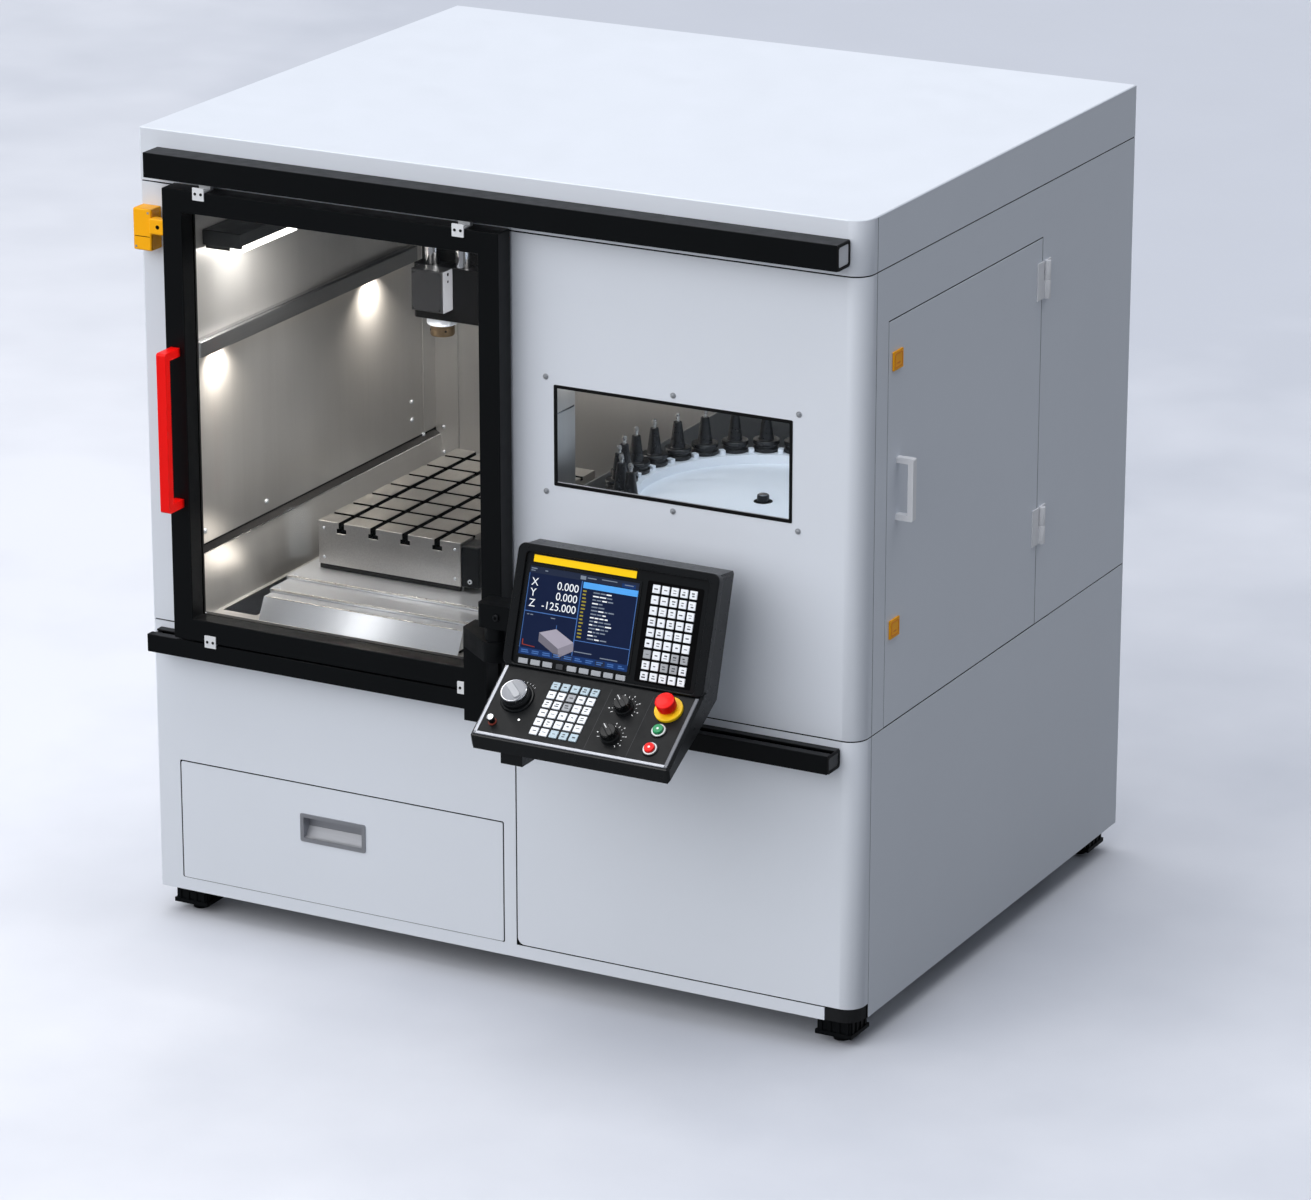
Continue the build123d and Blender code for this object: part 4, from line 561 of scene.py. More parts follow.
def patch(box, colour, layer=1):
    """Flat area of the screen; box holds left, top, right and foot as shares."""
    low, high = printed(layer)
    screen.block((*on_screen(box[0], box[3]), low), (*on_screen(box[2], box[1]), high), shade[colour], 0)


PATCHES = (
    ("navy", 0, (0, 0, 1, 1)),
    ("header", 1, (0, 0, 1, 0.075)),
    ("pale_blue", 1, (0.5, 0.085, 1, 0.155)),
    ("bar_blue", 2, (0.845, 0.03, 0.97, 0.075)),
    ("line_blue", 1, (0, 0.505, 0.485, 0.515), (0.482, 0.08, 0.49, 0.93), (0.485, 0.745, 1, 0.753),
     (0.992, 0.08, 1, 0.93), (0, 0.08, 0.006, 0.93)),
    ("grey", 2, (0.012, 0.02, 0.065, 0.032), (0.012, 0.045, 0.05, 0.055), (0.14, 0.03, 0.165, 0.042),
     (0.53, 0.03, 0.61, 0.042), (0.03, 0.54, 0.05, 0.55), (0.06, 0.54, 0.085, 0.55),
     (0.25, 0.545, 0.29, 0.555), (0.465, 0.02, 0.515, 0.062)),
    ("grey", 3, (0.66, 0.025, 0.8, 0.034), (0.87, 0.04, 0.95, 0.05)),
)
for colour, layer, *boxes in PATCHES:
    for box in boxes:
        patch(box, colour, layer)
AXES = (("X", "0.000", 0.215), ("Y", "0.000", 0.335), ("Z", "-125.000", 0.455))
LETTER = 0.125 * screen_height
for letter, value, down in AXES:
    x0, y0 = on_screen(0.03, down)
    x1, _ = on_screen(0.465, down)
    level = printed(2)[1]
    screen.words(letter, (x0, y0, level), LETTER, shade["white"])
    screen.words(value, (x1, y0 - 1, level), LETTER, shade["white"], "RIGHT")
FIGURES = (
    ("lilac_top", (0.164, 0.732), (0.353, 0.877), (0.485, 0.782), (0.313, 0.663)),
    ("lilac_side", (0.164, 0.732), (0.167, 0.829), (0.364, 0.977), (0.353, 0.877)),
    ("lilac_end", (0.353, 0.877), (0.364, 0.977), (0.493, 0.875), (0.485, 0.782)),
    ("red", (0.02, 0.83), (0.022, 0.895), (0.03, 0.895), (0.028, 0.83)),
    ("red", (0.022, 0.887), (0.022, 0.895), (0.14, 0.905), (0.14, 0.897)),
    ("line_blue", (0.31, 0.62), (0.31, 0.66), (0.315, 0.66), (0.315, 0.62)),
)
for colour, *points in FIGURES:
    screen.prism([on_screen(*point) for point in points], *printed(2), shade[colour])
ROWS = 14
for row in range(ROWS):
    top = 0.178 + 0.04 * row
    patch((0.505, top, 0.53 + 0.015 * chance.random(), top + 0.017), "yellow", 2)
    reach = 0.6
    while reach < 0.68 + 0.18 * chance.random():
        step = 0.025 + 0.035 * chance.random()
        colour = "grey" if chance.random() < 0.5 else "white"
        patch((reach, top + 0.003, reach + step, top + 0.017), colour, 2)
        reach += step + 0.008
patch((0, 0.925, 1, 1), "bar_blue")
for share in range(10):
    start = 0.012 + 0.099 * share
    patch((start, 0.935, start + 0.088, 0.992), "header" if share in (3, 4, 7) else "bar_blue", 2)
    for line in range(2):
        width = 0.03 + 0.045 * chance.random()
        top = 0.022 * line
        patch((start + 0.01, 0.945 + top, start + 0.01 + width, 0.957 + top), "line_blue", 3)
patch((0.5, 0.87, 0.66, 0.88), "grey", 2)
patch((0.74, 0.895, 0.9, 0.905), "grey", 2)
screen.finish("pendant", "black_plastic")

# Keys with generic printed strokes
key_white = FINISH["white_plastic"]
key_grey = coat("key_grey", (158, 162, 168), 0.45, 1200, 0.05, 0.03)
key_blue = coat("key_pale_blue", (176, 196, 208), 0.45, 1200, 0.05, 0.03)
key_dark = coat("key_dark", (58, 60, 64), 0.45, 1200, 0.05, 0.03)
ink = coat("key_ink", (52, 56, 62), 0.6, 900, 0.02, 0.02)
keys = Piece("panel_keys", FACE)


def key(centre, size, foot, top, material, strokes):
    """One key with rounded edges and a few printed strokes on it."""
    half_x, half_y = size[0] / 2, size[1] / 2
    low = (centre[0] - half_x, centre[1] - half_y, foot)
    keys.block(low, (centre[0] + half_x, centre[1] + half_y, top), material, 1.1, 3)
    for line in range(strokes):
        wide = size[0] * (0.14 + 0.12 * chance.random())
        tall = size[1] * (0.07 + 0.1 * chance.random())
        x = centre[0] + size[0] * 0.12 * (chance.random() - 0.5)
        y = centre[1] + size[1] * (0.3 * (line - (strokes - 1) / 2))
        keys.block((x - wide, y - tall / 2, top - 0.1), (x + wide, y + tall / 2, top + 0.08), ink, 0)


def key_field(centre, columns, rows, pitch, size, levels, coloured, double):
    """Rows of keys round a centre, white unless coloured; double is the share of keys with two strokes."""
    for row in range(rows):
        for column in range(columns):
            x = centre[0] + (column - (columns - 1) / 2) * pitch[0]
            y = centre[1] - (row - (rows - 1) / 2) * pitch[1]
            paint = coloured.get((row, column), key_white)
            key((x, y), size, *levels, paint, 1 + (chance.random() < double))


MDI_COLOURS = dict.fromkeys(((6, 0), (6, 3), (6, 4), (7, 2), (7, 3)), key_grey)
key_field(face_at(0.795, 0.547), 5, 9, (21, 22), (16.6, 17), (0.5, 4.2), MDI_COLOURS, 0.5)
SOFT_KEYS = 9
SOFT_PITCH = 28
centre = face_at(0.341, 0.955)
for number in range(SOFT_KEYS):
    narrow = number == 3
    at = (centre[0] + (number - (SOFT_KEYS - 1) / 2) * SOFT_PITCH, centre[1])
    key(at, (16 if narrow else 22, 11), 0.5, 3.6, key_dark if narrow else key_grey, 0)
# The rest of the keys lie on the console, so the piece changes its place
keys.shape.transform(CONSOLE.inverted() @ FACE)
keys.place = CONSOLE
PAD_COLOURS = {
    **dict.fromkeys(((0, 0), (0, 1), (0, 2), (0, 3), (0, 4), (5, 2), (5, 3), (5, 4)), key_blue),
    **dict.fromkeys(((1, 2), (2, 2)), key_grey),
}
key_field(console_at(0.398, 0.5), 5, 6, (22.5, 22.5), (17.6, 17.6), (0.3, 4), PAD_COLOURS, 0.4)
keys.finish("pendant", "white_plastic", "pendant_keys")

# Console plate with its trims and division lines
trim_silver = brushed("silver_trim", (178, 181, 188), 0.4, (1, 1, 1), 0.1, 0.08, 120, 0.02)
trim_grey = coat("grey_trim", (104, 107, 114), 0.4, 900, 0.05, 0.04)
line_grey = coat("division_grey", (46, 48, 52), 0.5, 900, 0.05, 0.04)
PLATE_LEFT, PLATE_FOOT, PLATE_RIGHT, PLATE_TOP = 14, -170, 440, -5
TRIM = 8
console = Piece("console_plate", CONSOLE)
console.block((PLATE_LEFT, PLATE_FOOT, -0.5), (PLATE_RIGHT, PLATE_TOP, 1), matte_black, 0.3)
trims = (
    (PLATE_LEFT - TRIM, PLATE_LEFT, PLATE_TOP, trim_silver),
    (PLATE_LEFT - TRIM, PLATE_RIGHT + TRIM, PLATE_FOOT, trim_silver),
    (PLATE_RIGHT, PLATE_RIGHT + TRIM, PLATE_TOP, trim_grey),
)
for x0, x1, top, material in trims:
    console.block((x0, PLATE_FOOT - TRIM, -1), (x1, top, 2.6), material, 1.6, 3)
for share in (0.565, 0.775):
    x, _, _ = console_at(share, 0)
    console.block((x, PLATE_FOOT + 3, 0.9), (x + 0.8, PLATE_TOP - 12, 1.15), line_grey, 0)
console.finish("pendant", "black_plastic")

# Dial, selectors, stops and buttons: bezels on the pendant, moving parts on their own bodies
white_print = coat("white_print", (226, 228, 230), 0.5, 900, 0.02, 0.02)
DIAL = console_at(0.145, 0.43)
SELECTORS = {"upper_selector": console_at(0.664, 0.31), "lower_selector": console_at(0.664, 0.7)}
STOP = console_at(0.876, 0.24)
BUTTONS = {"start_button": console_at(0.873, 0.52), "stop_button": console_at(0.873, 0.77)}
ring_yellow = coat("stop_ring_yellow", (250, 206, 18), 0.45, 1200, 0.05, 0.03)
bezels = Piece("control_rings", CONSOLE)
bezels.turned([(36, 0), (36, 3), (34.5, 5.4), (31, 6), (20, 6)], DIAL, moulding, segments=56)


def spun(centre, turn):
    """Place turned about a control's axis."""
    return Matrix.Translation(centre) @ Matrix.Rotation(turn, 4, "Z")


def tick(centre, turn, start, end, width):
    """One printed line pointing at a control's centre."""
    outline = [(start, -width / 2), (end, -width / 2), (end, width / 2), (start, width / 2)]
    bezels.prism(outline, 0.9, 1.2, white_print, place=spun(centre, turn))


for number in range(5):
    tick(DIAL, math.radians(50 + 11 * number), 39, 42.5, 1)
for name, at in SELECTORS.items():
    bezels.turned([(20, 0), (20, 2.6), (18.6, 4), (10, 4)], at, moulding, segments=44)
    for number in range(13):
        turn = math.radians(-120 + 20 * number + (90 if name == "upper_selector" else 70))
        tick(at, turn, 24.5, 29.5 if number % 3 == 0 else 27, 1.2)
        if number % 2:
            bezels.prism(rounded(3, 2.2, 0.6, (32.5, 0), 2), 0.9, 1.15, white_print, place=spun(at, turn))
bezels.ring(circle(30), circle(13), 0, 8, ring_yellow, 1.8, 3, Matrix.Translation(STOP))
white_ring = coat("button_ring_white", (224, 228, 230), 0.3, 900, 0.02, 0.02)
for at in BUTTONS.values():
    bezels.ring(circle(17), circle(11.6), 0, 3.6, moulding, 1, 2, Matrix.Translation(at))
    bezels.ring(circle(14.8), circle(11.4), 2.5, 5, white_ring, 0.7, 2, Matrix.Translation(at))
bezels.finish("pendant", "black_plastic", "control_bezels")

dial = Piece("handwheel_knob", CONSOLE)
dial_top = coat("dial_grey", (146, 149, 156), 0.35, 900, 0.04, 0.03)
dial_ridge = coat("dial_ridge_grey", (172, 175, 181), 0.35, 900, 0.04, 0.03)
DIAL_PARTS = (
    (moulding, (31.5, 6), (32, 7), (31, 13), (29, 15), (20, 15)),
    (chrome, (27.5, 14), (28.5, 16), (28.8, 26), (28.2, 28.4), (26.6, 29.4), (24.6, 29)),
    (dial_top, (25.4, 26), (25.2, 29.2), (22, 30.6), (12, 31.2), (2, 31.3)),
)
for material, *profile in DIAL_PARTS:
    dial.turned(profile, DIAL, material, segments=56)
dial.prism(rounded(44, 15, 5), 29, 33, dial_ridge, 1.4, 3, spun(DIAL, math.radians(140)))
dial.finish("handwheel", "alloy", "handwheel")

KNOB_PROFILE = [(20, 4), (20, 7), (17.8, 9.5), (16.4, 22), (15.2, 23.4), (3, 23.6)]
KNOB_RIBS = 18
for name, at in SELECTORS.items():
    knob = Piece(name + "_knob", CONSOLE)
    knob.turned(KNOB_PROFILE, at, moulding, segments=44)
    for number in range(KNOB_RIBS):
        rib = spun(at, 2 * math.pi * number / KNOB_RIBS)
        knob.prism(rounded(1.6, 2, 0.6, (16.9, 0), 2), 9, 21.6, moulding, 0, 2, rib)
    pointer = spun(at, math.radians(135))
    knob.prism(rounded(36, 11, 4.5), 21, 28, moulding, 1.6, 3, pointer)
    knob.prism(rounded(13, 1.6, 0.6, (9.5, 0), 2), 27.9, 28.15, white_print, 0, 2, pointer)
    knob.finish(name, "black_plastic", name)

stop_red = FINISH["red_plastic"]
mushroom = Piece("emergency_stop_head", CONSOLE)
mushroom.turned([(12, 7.6), (12, 20)], STOP, stop_red, segments=40)
HEAD_PROFILE = [
    (12.5, 14.3), (19, 14.6), (20.4, 16), (20.6, 33.2), (19.8, 35.4), (18, 36.3), (15.4, 35.9), (10, 34.8),
    (3, 34.4),
]
mushroom.turned(HEAD_PROFILE, STOP, stop_red, segments=56)
mushroom.finish("emergency_stop", "red_plastic", "emergency_stop")
CAP_PROFILE = [(11, 5.5), (11, 9.4), (10.4, 10.6), (9, 11), (6, 10.7), (2, 10.6)]
for name, at in BUTTONS.items():
    cap = Piece(name + "_cap", CONSOLE)
    slot = "green_plastic" if name == "start_button" else "red_plastic"
    cap.turned(CAP_PROFILE, at, FINISH[slot], segments=40)
    cap.turned([(2.6, 10.4), (2.6, 10.9), (2, 11)], at, white_ring, segments=20)
    cap.finish(name, slot, name)

# Key switch and indicator lamp of the pendant
extras = Piece("pendant_fittings", CONSOLE)
KEY_SWITCH = console_at(0.082, 0.786)
INDICATOR = console_at(0.202, 0.704)
switch_red = coat("key_switch_red", (120, 40, 26), 0.5, 900, 0.05, 0.05)
lit = glowing("indicator_white", (255, 255, 255), 1)
FITTINGS = (
    (KEY_SWITCH, switch_red, 32, (9, 0.5), (9, 3), (8, 4)),
    (KEY_SWITCH, moulding, 32, (7, 3), (7, 14), (6.4, 15)),
    (KEY_SWITCH, chrome, 32, (7.2, 14), (7.6, 15.5), (7, 19), (2, 19.4)),
    (INDICATOR, moulding, 28, (3.6, 0.5), (3.6, 1.8), (3, 2.2)),
    (INDICATOR, lit, 24, (2.4, 2), (2.2, 2.7), (1.2, 3.2), (0.4, 3.3)),
)
for at, material, segments, *profile in FITTINGS:
    extras.turned(profile, at, material, segments=segments)
extras.finish("pendant", "black_plastic")

# Bracket screw
bracket_low, bracket_high = local("pendant_bracket")
mount = Piece("bracket_screw")
bracket_middle = (bracket_low.z + bracket_high.z) / 2
socket_screw(mount, (bracket_low.x + 46, bracket_low.y, bracket_middle), FORWARD, 7, moulding, black_and_painted_shade)
mount.finish("pendant", "black_metal")

# Front of the cabinet: window gasket and screws, hanger screws, interlock, end caps
window_low, window_high = local("tool_window")
WINDOW_LAP = 12
opening_low = (window_low.x + WINDOW_LAP, window_low.z + WINDOW_LAP)
opening_high = (window_high.x - WINDOW_LAP, window_high.z - WINDOW_LAP)
opening_centre = ((opening_low[0] + opening_high[0]) / 2, (opening_low[1] + opening_high[1]) / 2)
opening_size = (opening_high[0] - opening_low[0], opening_high[1] - opening_low[1])
screw_zinc = coat("zinc_screw", (176, 180, 186), 0.35, 600, 0.05, 0.05, 20, 0.5, 0.6)
GASKET = 6.5
trim = Piece("window_gasket", FRONT)
trim.ring(
    rounded(opening_size[0] + 1, opening_size[1] + 1, 3, opening_centre, 4),
    rounded(opening_size[0] - 2 * GASKET, opening_size[1] - 2 * GASKET, 2, opening_centre, 4),
    -3, 1.4, rubber, 0.9, 3,
)
gasket_low = (opening_low[0] + GASKET, opening_low[1] + GASKET)
trim.block((*gasket_low, -3), (opening_high[0] - GASKET, gasket_low[1] + 1.6, -1.2), alloy, 0.4)
WINDOW_SCREWS = [(x, z) for x in (971, 1264, 1547) for z in (1045, 1289)]
for x, z in WINDOW_SCREWS:
    trim.turned([(6.4, 0), (6.4, 0.6), (5.6, 1.1)], (x, z, 0), screw_zinc, segments=24)
    dome_screw(trim, (x, z, 1), (0, 0, 1), 4.4, screw_zinc)
trim.finish("machine", "pane")

door_low, door_high = local("door_frame")
OPENING_LOW, OPENING_HIGH = (130, 645), (855, 1558)
opening_middle = [(low + high) / 2 for low, high in zip(OPENING_LOW, OPENING_HIGH)]
opening_span = [high - low for low, high in zip(OPENING_LOW, OPENING_HIGH)]
EDGING_LAP, EDGING_STAND = 7, 1.4
edging = Piece("door_opening_edging", FRONT)
edging.ring(
    rounded(opening_span[0] + 2 * EDGING_LAP, opening_span[1] + 2 * EDGING_LAP, 9, opening_middle),
    rounded(opening_span[0] - 2 * EDGING_STAND, opening_span[1] - 2 * EDGING_STAND, 5, opening_middle),
    -5, 1.2, rubber, 0.8, 3,
)
edging.finish("machine", "black_plastic")
hanger_low, hanger_high = local("door_hangers")
plate_front = -hanger_low.y
HANGER_HALF = 14
hanger_x = (hanger_low.x + HANGER_HALF, hanger_high.x - HANGER_HALF)
plates = Piece("hanger_screws", FRONT)
for x in hanger_x:
    for z in (door_low.z + 3, door_high.z - 3):
        for side in (-1, 1):
            at = (x + 7 * side, z, plate_front)
            plates.turned([(3.1, -0.2), (3.1, 0.9), (2.5, 1.3)], at, moulding, segments=20)
plates.finish("front_door", "ground_steel")

switch_low, switch_high = local("interlock_switch")
switch_face = -switch_low.y
key_low, key_high = local("interlock_key")
guard = Piece("interlock_details", FRONT)
guard.block(
    (switch_low.x + 4, switch_low.z + 30, switch_face - 0.4),
    (switch_high.x - 4, switch_low.z + 31.4, switch_face + 0.15), black_and_painted_shade, 0,
)
for x, z in ((switch_low.x + 7, switch_low.z + 8), (switch_high.x - 7, switch_high.z - 8)):
    guard.turned([(2.6, -0.3), (2.6, 0.5), (2.1, 0.9)], (x, z, switch_face), screw_zinc, segments=18)
guard.finish("machine", "yellow_plastic")
# The key hole is a dark disc on the face: painted shade standing for the hole
hole = Piece("interlock_key_hole", FRONT)
hole_at = ((key_low.x + key_high.x) / 2 + 3, (key_low.z + key_high.z) / 2, -key_low.y)
hole.turned([(4.6, -0.3), (4.6, 0.25)], hole_at, black_and_painted_shade, segments=24)
hole.finish("front_door", "yellow_plastic")

# Cap borders at the right ends of the rails
for name in ("upper_rail", "lower_rail"):
    low, high = local(name)
    centre = (-(low.y + high.y) / 2, (low.z + high.z) / 2)
    size = (high.y - low.y, high.z - low.z)
    place = CABINET @ Matrix(((0, 0, 1, high.x), (-1, 0, 0, 0), (0, 1, 0, 0), (0, 0, 0, 1)))
    border = Piece(name + "_end_border", place)
    inner = rounded(size[0] - 13, size[1] - 13, 5, centre)
    border.ring(rounded(size[0], size[1], 8, centre), inner, -1, 1.6, rubber, 0.7)
    if name == "lower_rail":
        border.prism(rounded(size[0] - 12, size[1] - 12, 5, centre), -1, 0.6, moulding, 0.3)
    border.finish("machine", "grey_plastic")

# Working space: lamp, light strip, folded edges and rivets
lights_low, lights_high = local("cabin_lights")
wall_face = lights_low.x
back_face = local("cabin_back_wall")[0].y
LAMP_REAR, LAMP_FRONT, LAMP_HEIGHT = 380, 150, 42
STRIP_WIDTH, STRIP_HEIGHT = 22, 35
lamp_foot = lights_high.z - LAMP_HEIGHT
strip_edge = wall_face + STRIP_WIDTH
strip_top = lights_low.z + STRIP_HEIGHT
diffuser = glowing("lamp_diffuser", (255, 252, 244), 3)
warm = glowing("strip_diffuser", (255, 236, 206), 2.2)
# The lamp's hood is near black: painted shade standing for the shadow on it
hood_painted_shade = coat("lamp_hood_painted_shade", (24, 26, 28), 0.45, 700, 0.06, 0.06, 4, 0.3)
strip_grey = brushed("strip_metal", (140, 141, 142), 0.38, (1, 0.03, 1), 0.2, 0.08, 200)
bright = FINISH["bright"]
lamps = Piece("work_lights")
LAMP_BLOCKS = (
    ((wall_face, LAMP_FRONT, lamp_foot + 8), (lights_high.x, LAMP_REAR, lights_high.z), hood_painted_shade, 3, 3),
    ((wall_face + 4, LAMP_FRONT + 6, lamp_foot), (lights_high.x - 30, LAMP_REAR - 6, lamp_foot + 9),
     hood_painted_shade, 2),
    ((lights_high.x - 32, LAMP_FRONT + 6, lamp_foot), (lights_high.x + 0.5, LAMP_REAR - 4, lamp_foot + 15),
     diffuser, 1.5),
    (tuple(lights_low), (strip_edge, lights_high.y, strip_top), strip_grey, 1.6, 3),
    ((wall_face + 1, lights_low.y, strip_top - 1), (strip_edge - 8, lights_high.y, strip_top + 1.4),
     bright, 0.5),
    ((wall_face + 4, lights_low.y + 10, lights_low.z - 0.6),
     (strip_edge - 4, lights_high.y - 10, lights_low.z + 0.8), warm, 0.3),
)
for block in LAMP_BLOCKS:
    lamps.block(*block)
lamps.finish("machine", "black_plastic", "cabin_lights")

LEDGE = 738
GUARD_FOOT, GUARD_REACH = 615, 35
GUARD_TILT = Vector((0.96, 0, 0.28))
WALL_RIVETS = (
    (130, LEDGE + 45), (380, LEDGE + 42), (1010, LEDGE + 105), (1010, LEDGE + 62), (110, 1170), (600, 1372),
    (1060, LEDGE + 14),
)
GUARD_RIVETS = ((90, 716), (90, 636), (330, 636), (420, 636), (600, 640), (600, 716))
rivets = Piece("cabin_rivets")
for y, z in WALL_RIVETS:
    dome_screw(rivets, (wall_face, y, z), (1, 0, 0), 6, screw_zinc)
for y, z in GUARD_RIVETS:
    lean = (LEDGE - z) / (LEDGE - GUARD_FOOT)
    dome_screw(rivets, (wall_face + GUARD_REACH * lean + 1, y, z), GUARD_TILT, 4, screw_zinc)
for z in (700, 760, 1100):
    dome_screw(rivets, (wall_face + 24, back_face - 7, z), FORWARD, 4.5, screw_zinc)
rivets.finish("machine", "stainless")

SHEET = 3
CABIN_FRONT, CORNER_TOP = 60, 1255
LEDGE_WIDTH, LEDGE_DROP = 16, 10
LEDGE_TURN = Matrix(((1, 0, 0, 0), (0, 0, 1, 0), (0, 1, 0, 0), (0, 0, 0, 1)))
# A dark steel sheet over the ledge top makes the ledge darker than the wall
ledge_dark_sheet = brushed("ledge_dark_steel", (38, 38, 39), 0.5, (1, 0.03, 1), 0.2, 0.1, 200, 0.02)
ledge_top = LEDGE + LEDGE_DROP + SHEET
ledge_lip = wall_face + LEDGE_WIDTH - 2
lip_top = ledge_top - LEDGE_DROP
partition_face = local("partition_wall")[1].x
seams = Piece("cabin_folds")
# A deep black strip along the wall where it meets the ledge is a painted shadow line
seams.block((wall_face - 0.5, CABIN_FRONT, LEDGE + 14.5), (wall_face + 1.4, back_face, LEDGE + 17), black_and_painted_shade, 0)
seams.block(
    (wall_face, back_face - 60, LEDGE + 20), (wall_face + 3, back_face - 1, CORNER_TOP), stainless, 1.2
)
seams.block(
    (wall_face + 2, back_face - 6, 640), (wall_face + 62, back_face + 0.5, CORNER_TOP), stainless, 2, 3
)
seams.prism(
    [(wall_face, ledge_top), (ledge_lip, lip_top + 1.2), (ledge_lip, lip_top + 2.2),
     (wall_face, ledge_top + 1)],
    CABIN_FRONT, back_face, ledge_dark_sheet, 0, 2, LEDGE_TURN,
)
seams.block(
    (ledge_lip, CABIN_FRONT, lip_top - 0.4), (wall_face + LEDGE_WIDTH + 0.8, back_face, lip_top + 2),
    bright, 0.8, 3,
)
seams.block((partition_face - 0.3, 6, 1166), (partition_face + 1.6, 204, 1170), bright, 0.6)
seams.finish("machine", "stainless")

# Way covers and table: lips, corner screws, side block
COVER_NOSE, COVER_STEP = 25, 8
front_top = local("way_cover_front")[1].z
cover_parts = {
    "way_cover_front": ("machine", COVER_NOSE, front_top),
    "way_cover_middle": ("middle_cover", 0, front_top + COVER_STEP),
    "way_cover_rear": ("table", 0, front_top + 2 * COVER_STEP),
}
for name, (body, nose, top) in cover_parts.items():
    low, high = local(name)
    edge = low.y + nose
    lips = Piece(name + "_lip")
    lips.block((low.x + 3, edge - 0.6, top - 4.4), (high.x - 3, edge + 3, top + 0.3), steel, 1.1, 3)
    if nose == 0:
        for x in (low.x + 16, high.x - 16):
            lips.turned([(4.4, -0.3), (4.4, 0.5), (3.6, 0.9)], (x, edge + 12, top), screw_zinc, segments=20)
    lips.finish(body, "stainless")

table_low, table_high = local("table")
SIDE_BLOCK = 44
TABLE_THICKNESS = 98
side = Piece("table_side_block")
block_foot = table_high.z - TABLE_THICKNESS
block_right = table_high.x + SIDE_BLOCK
under_table_shade_top = block_foot + 1
# A black strip along the foot of the table's front stands for the shade under the table: painted shade
side.block(
    (table_low.x + 2, table_low.y + 1.5, under_table_shade_top - 12), (table_high.x - 2, table_low.y + 9, under_table_shade_top),
    rubber, 1.2,
)
side.block(
    (table_high.x, table_low.y + 2, block_foot), (block_right, table_low.y + 60, table_high.z - 6),
    black, 3, 3,
)
screw_at = (table_high.x + SIDE_BLOCK / 2, table_low.y + 2, table_high.z - 84)
socket_screw(side, screw_at, FORWARD, 5, screw_zinc, black_and_painted_shade)
for x in (table_low.x + 14, table_high.x - 14):
    for drop in (16, 82):
        dome_screw(side, (x, table_low.y, table_high.z - drop), FORWARD, 3.4, screw_zinc)
side.finish("table", "black_metal")

# Spindle head: box screws, plate with two holes painted as dark discs of shade, collar and nose
cover_low, cover_high = local("head_cover")
head_low = local("spindle_head")[0]
nose_low, nose_high = local("spindle_nose")
head = Piece("head_plate")
PLATE = 1.8
plate_x = cover_high.x + PLATE
plate_y = (cover_low.y + head_low.y) / 2
head.block(
    (cover_high.x - 1, cover_low.y + 2, cover_low.z + 1), (plate_x, head_low.y, cover_high.z - 1),
    pull_metal, 0.6, 3,
)
# The plate's two holes are dark discs on its face: painted shade standing for the holes
for z, radius in ((cover_high.z - 9, 4), (cover_high.z - 25, 3)):
    head.turned([(radius, -0.2), (radius, 0.2)], (plate_x, plate_y, z), black_and_painted_shade, (1, 0, 0), segments=18)
for x in (cover_low.x + 7, cover_high.x - 7):
    for z in (cover_low.z + 7, cover_high.z - 7):
        socket_screw(head, (x, cover_low.y, z), FORWARD, 2.6, moulding, black_and_painted_shade)
head.finish("head", "black_metal")

axis_x = (nose_low.x + nose_high.x) / 2
axis_y = (nose_low.y + nose_high.y) / 2
collar_top = head_low.z
COLLAR_HEIGHT, NOSE_RADIUS = 22, 27
COLLAR_PROFILE = [(30, 0), (34, -1), (34, -19), (32.5, -21.5), (27, -22)]
NOSE_PROFILE = [
    (27, 0), (27, -5), (26, -6), (26, -8), (27, -9), (27, -22), (25.4, -24.8), (17, -25.3), (16, -25),
    (15, -3),
]
brass = brushed("bronzed_steel", (150, 128, 100), 0.3, (1, 1, 0.05), 0.1, 0.1, 200)
spindle = Piece("spindle_nose_ring")
spindle.turned(COLLAR_PROFILE, (axis_x, axis_y, collar_top), FINISH["white_plastic"], segments=56)
spindle.turned(NOSE_PROFILE, (axis_x, axis_y, collar_top - COLLAR_HEIGHT), brass, segments=56)
spindle.turned([(26, 0), (26, nose_high.z - collar_top)], (axis_x, axis_y, collar_top), steel, segments=40)
# Four holes round the nose are dark discs: painted shade standing for the holes
for number in range(4):
    turn = math.radians(45 + 90 * number - 90)
    way = Vector((math.cos(turn), math.sin(turn), 0))
    hole_at = Vector((axis_x, axis_y, collar_top - 34)) + NOSE_RADIUS * way
    spindle.turned([(2.6, -0.4), (2.6, 0.25)], hole_at, black_and_painted_shade, way, segments=16)
spindle.finish("spindle", "ground_steel", "spindle_nose")

# Tool magazine: holders, grippers and hub cap
POCKETS, FIRST_TOOL, LAST_TOOL = 28, 8, 18
TOOL_CIRCLE, GRIP_CIRCLE = 300, 283
disc_low, disc_high = local("magazine_disc")
hub = Vector(((disc_low.x + disc_high.x) / 2, (disc_low.y + disc_high.y) / 2, 0))
rim = disc_high.z
holder_black = coat("holder_black", (22, 22, 23), 0.3, 900, 0.05, 0.08, 20, 0.5)
tools = Piece("tool_holder_set")
TOOL_PROFILE = [
    (16, -55), (16, -34), (15, -33), (15, -30), (17, -29), (17, -2), (27, 0), (29, 1.5), (29, 8), (25, 11),
    (25, 14), (29, 17), (29, 23.6), (28, 25), (17, 25.4), (15.9, 27), (9, 80), (8, 80.5), (6.4, 80.6),
]
STUD_PROFILE = [(4, 80), (4, 88), (5.5, 89.5), (5.5, 95), (3.6, 99), (1, 100)]
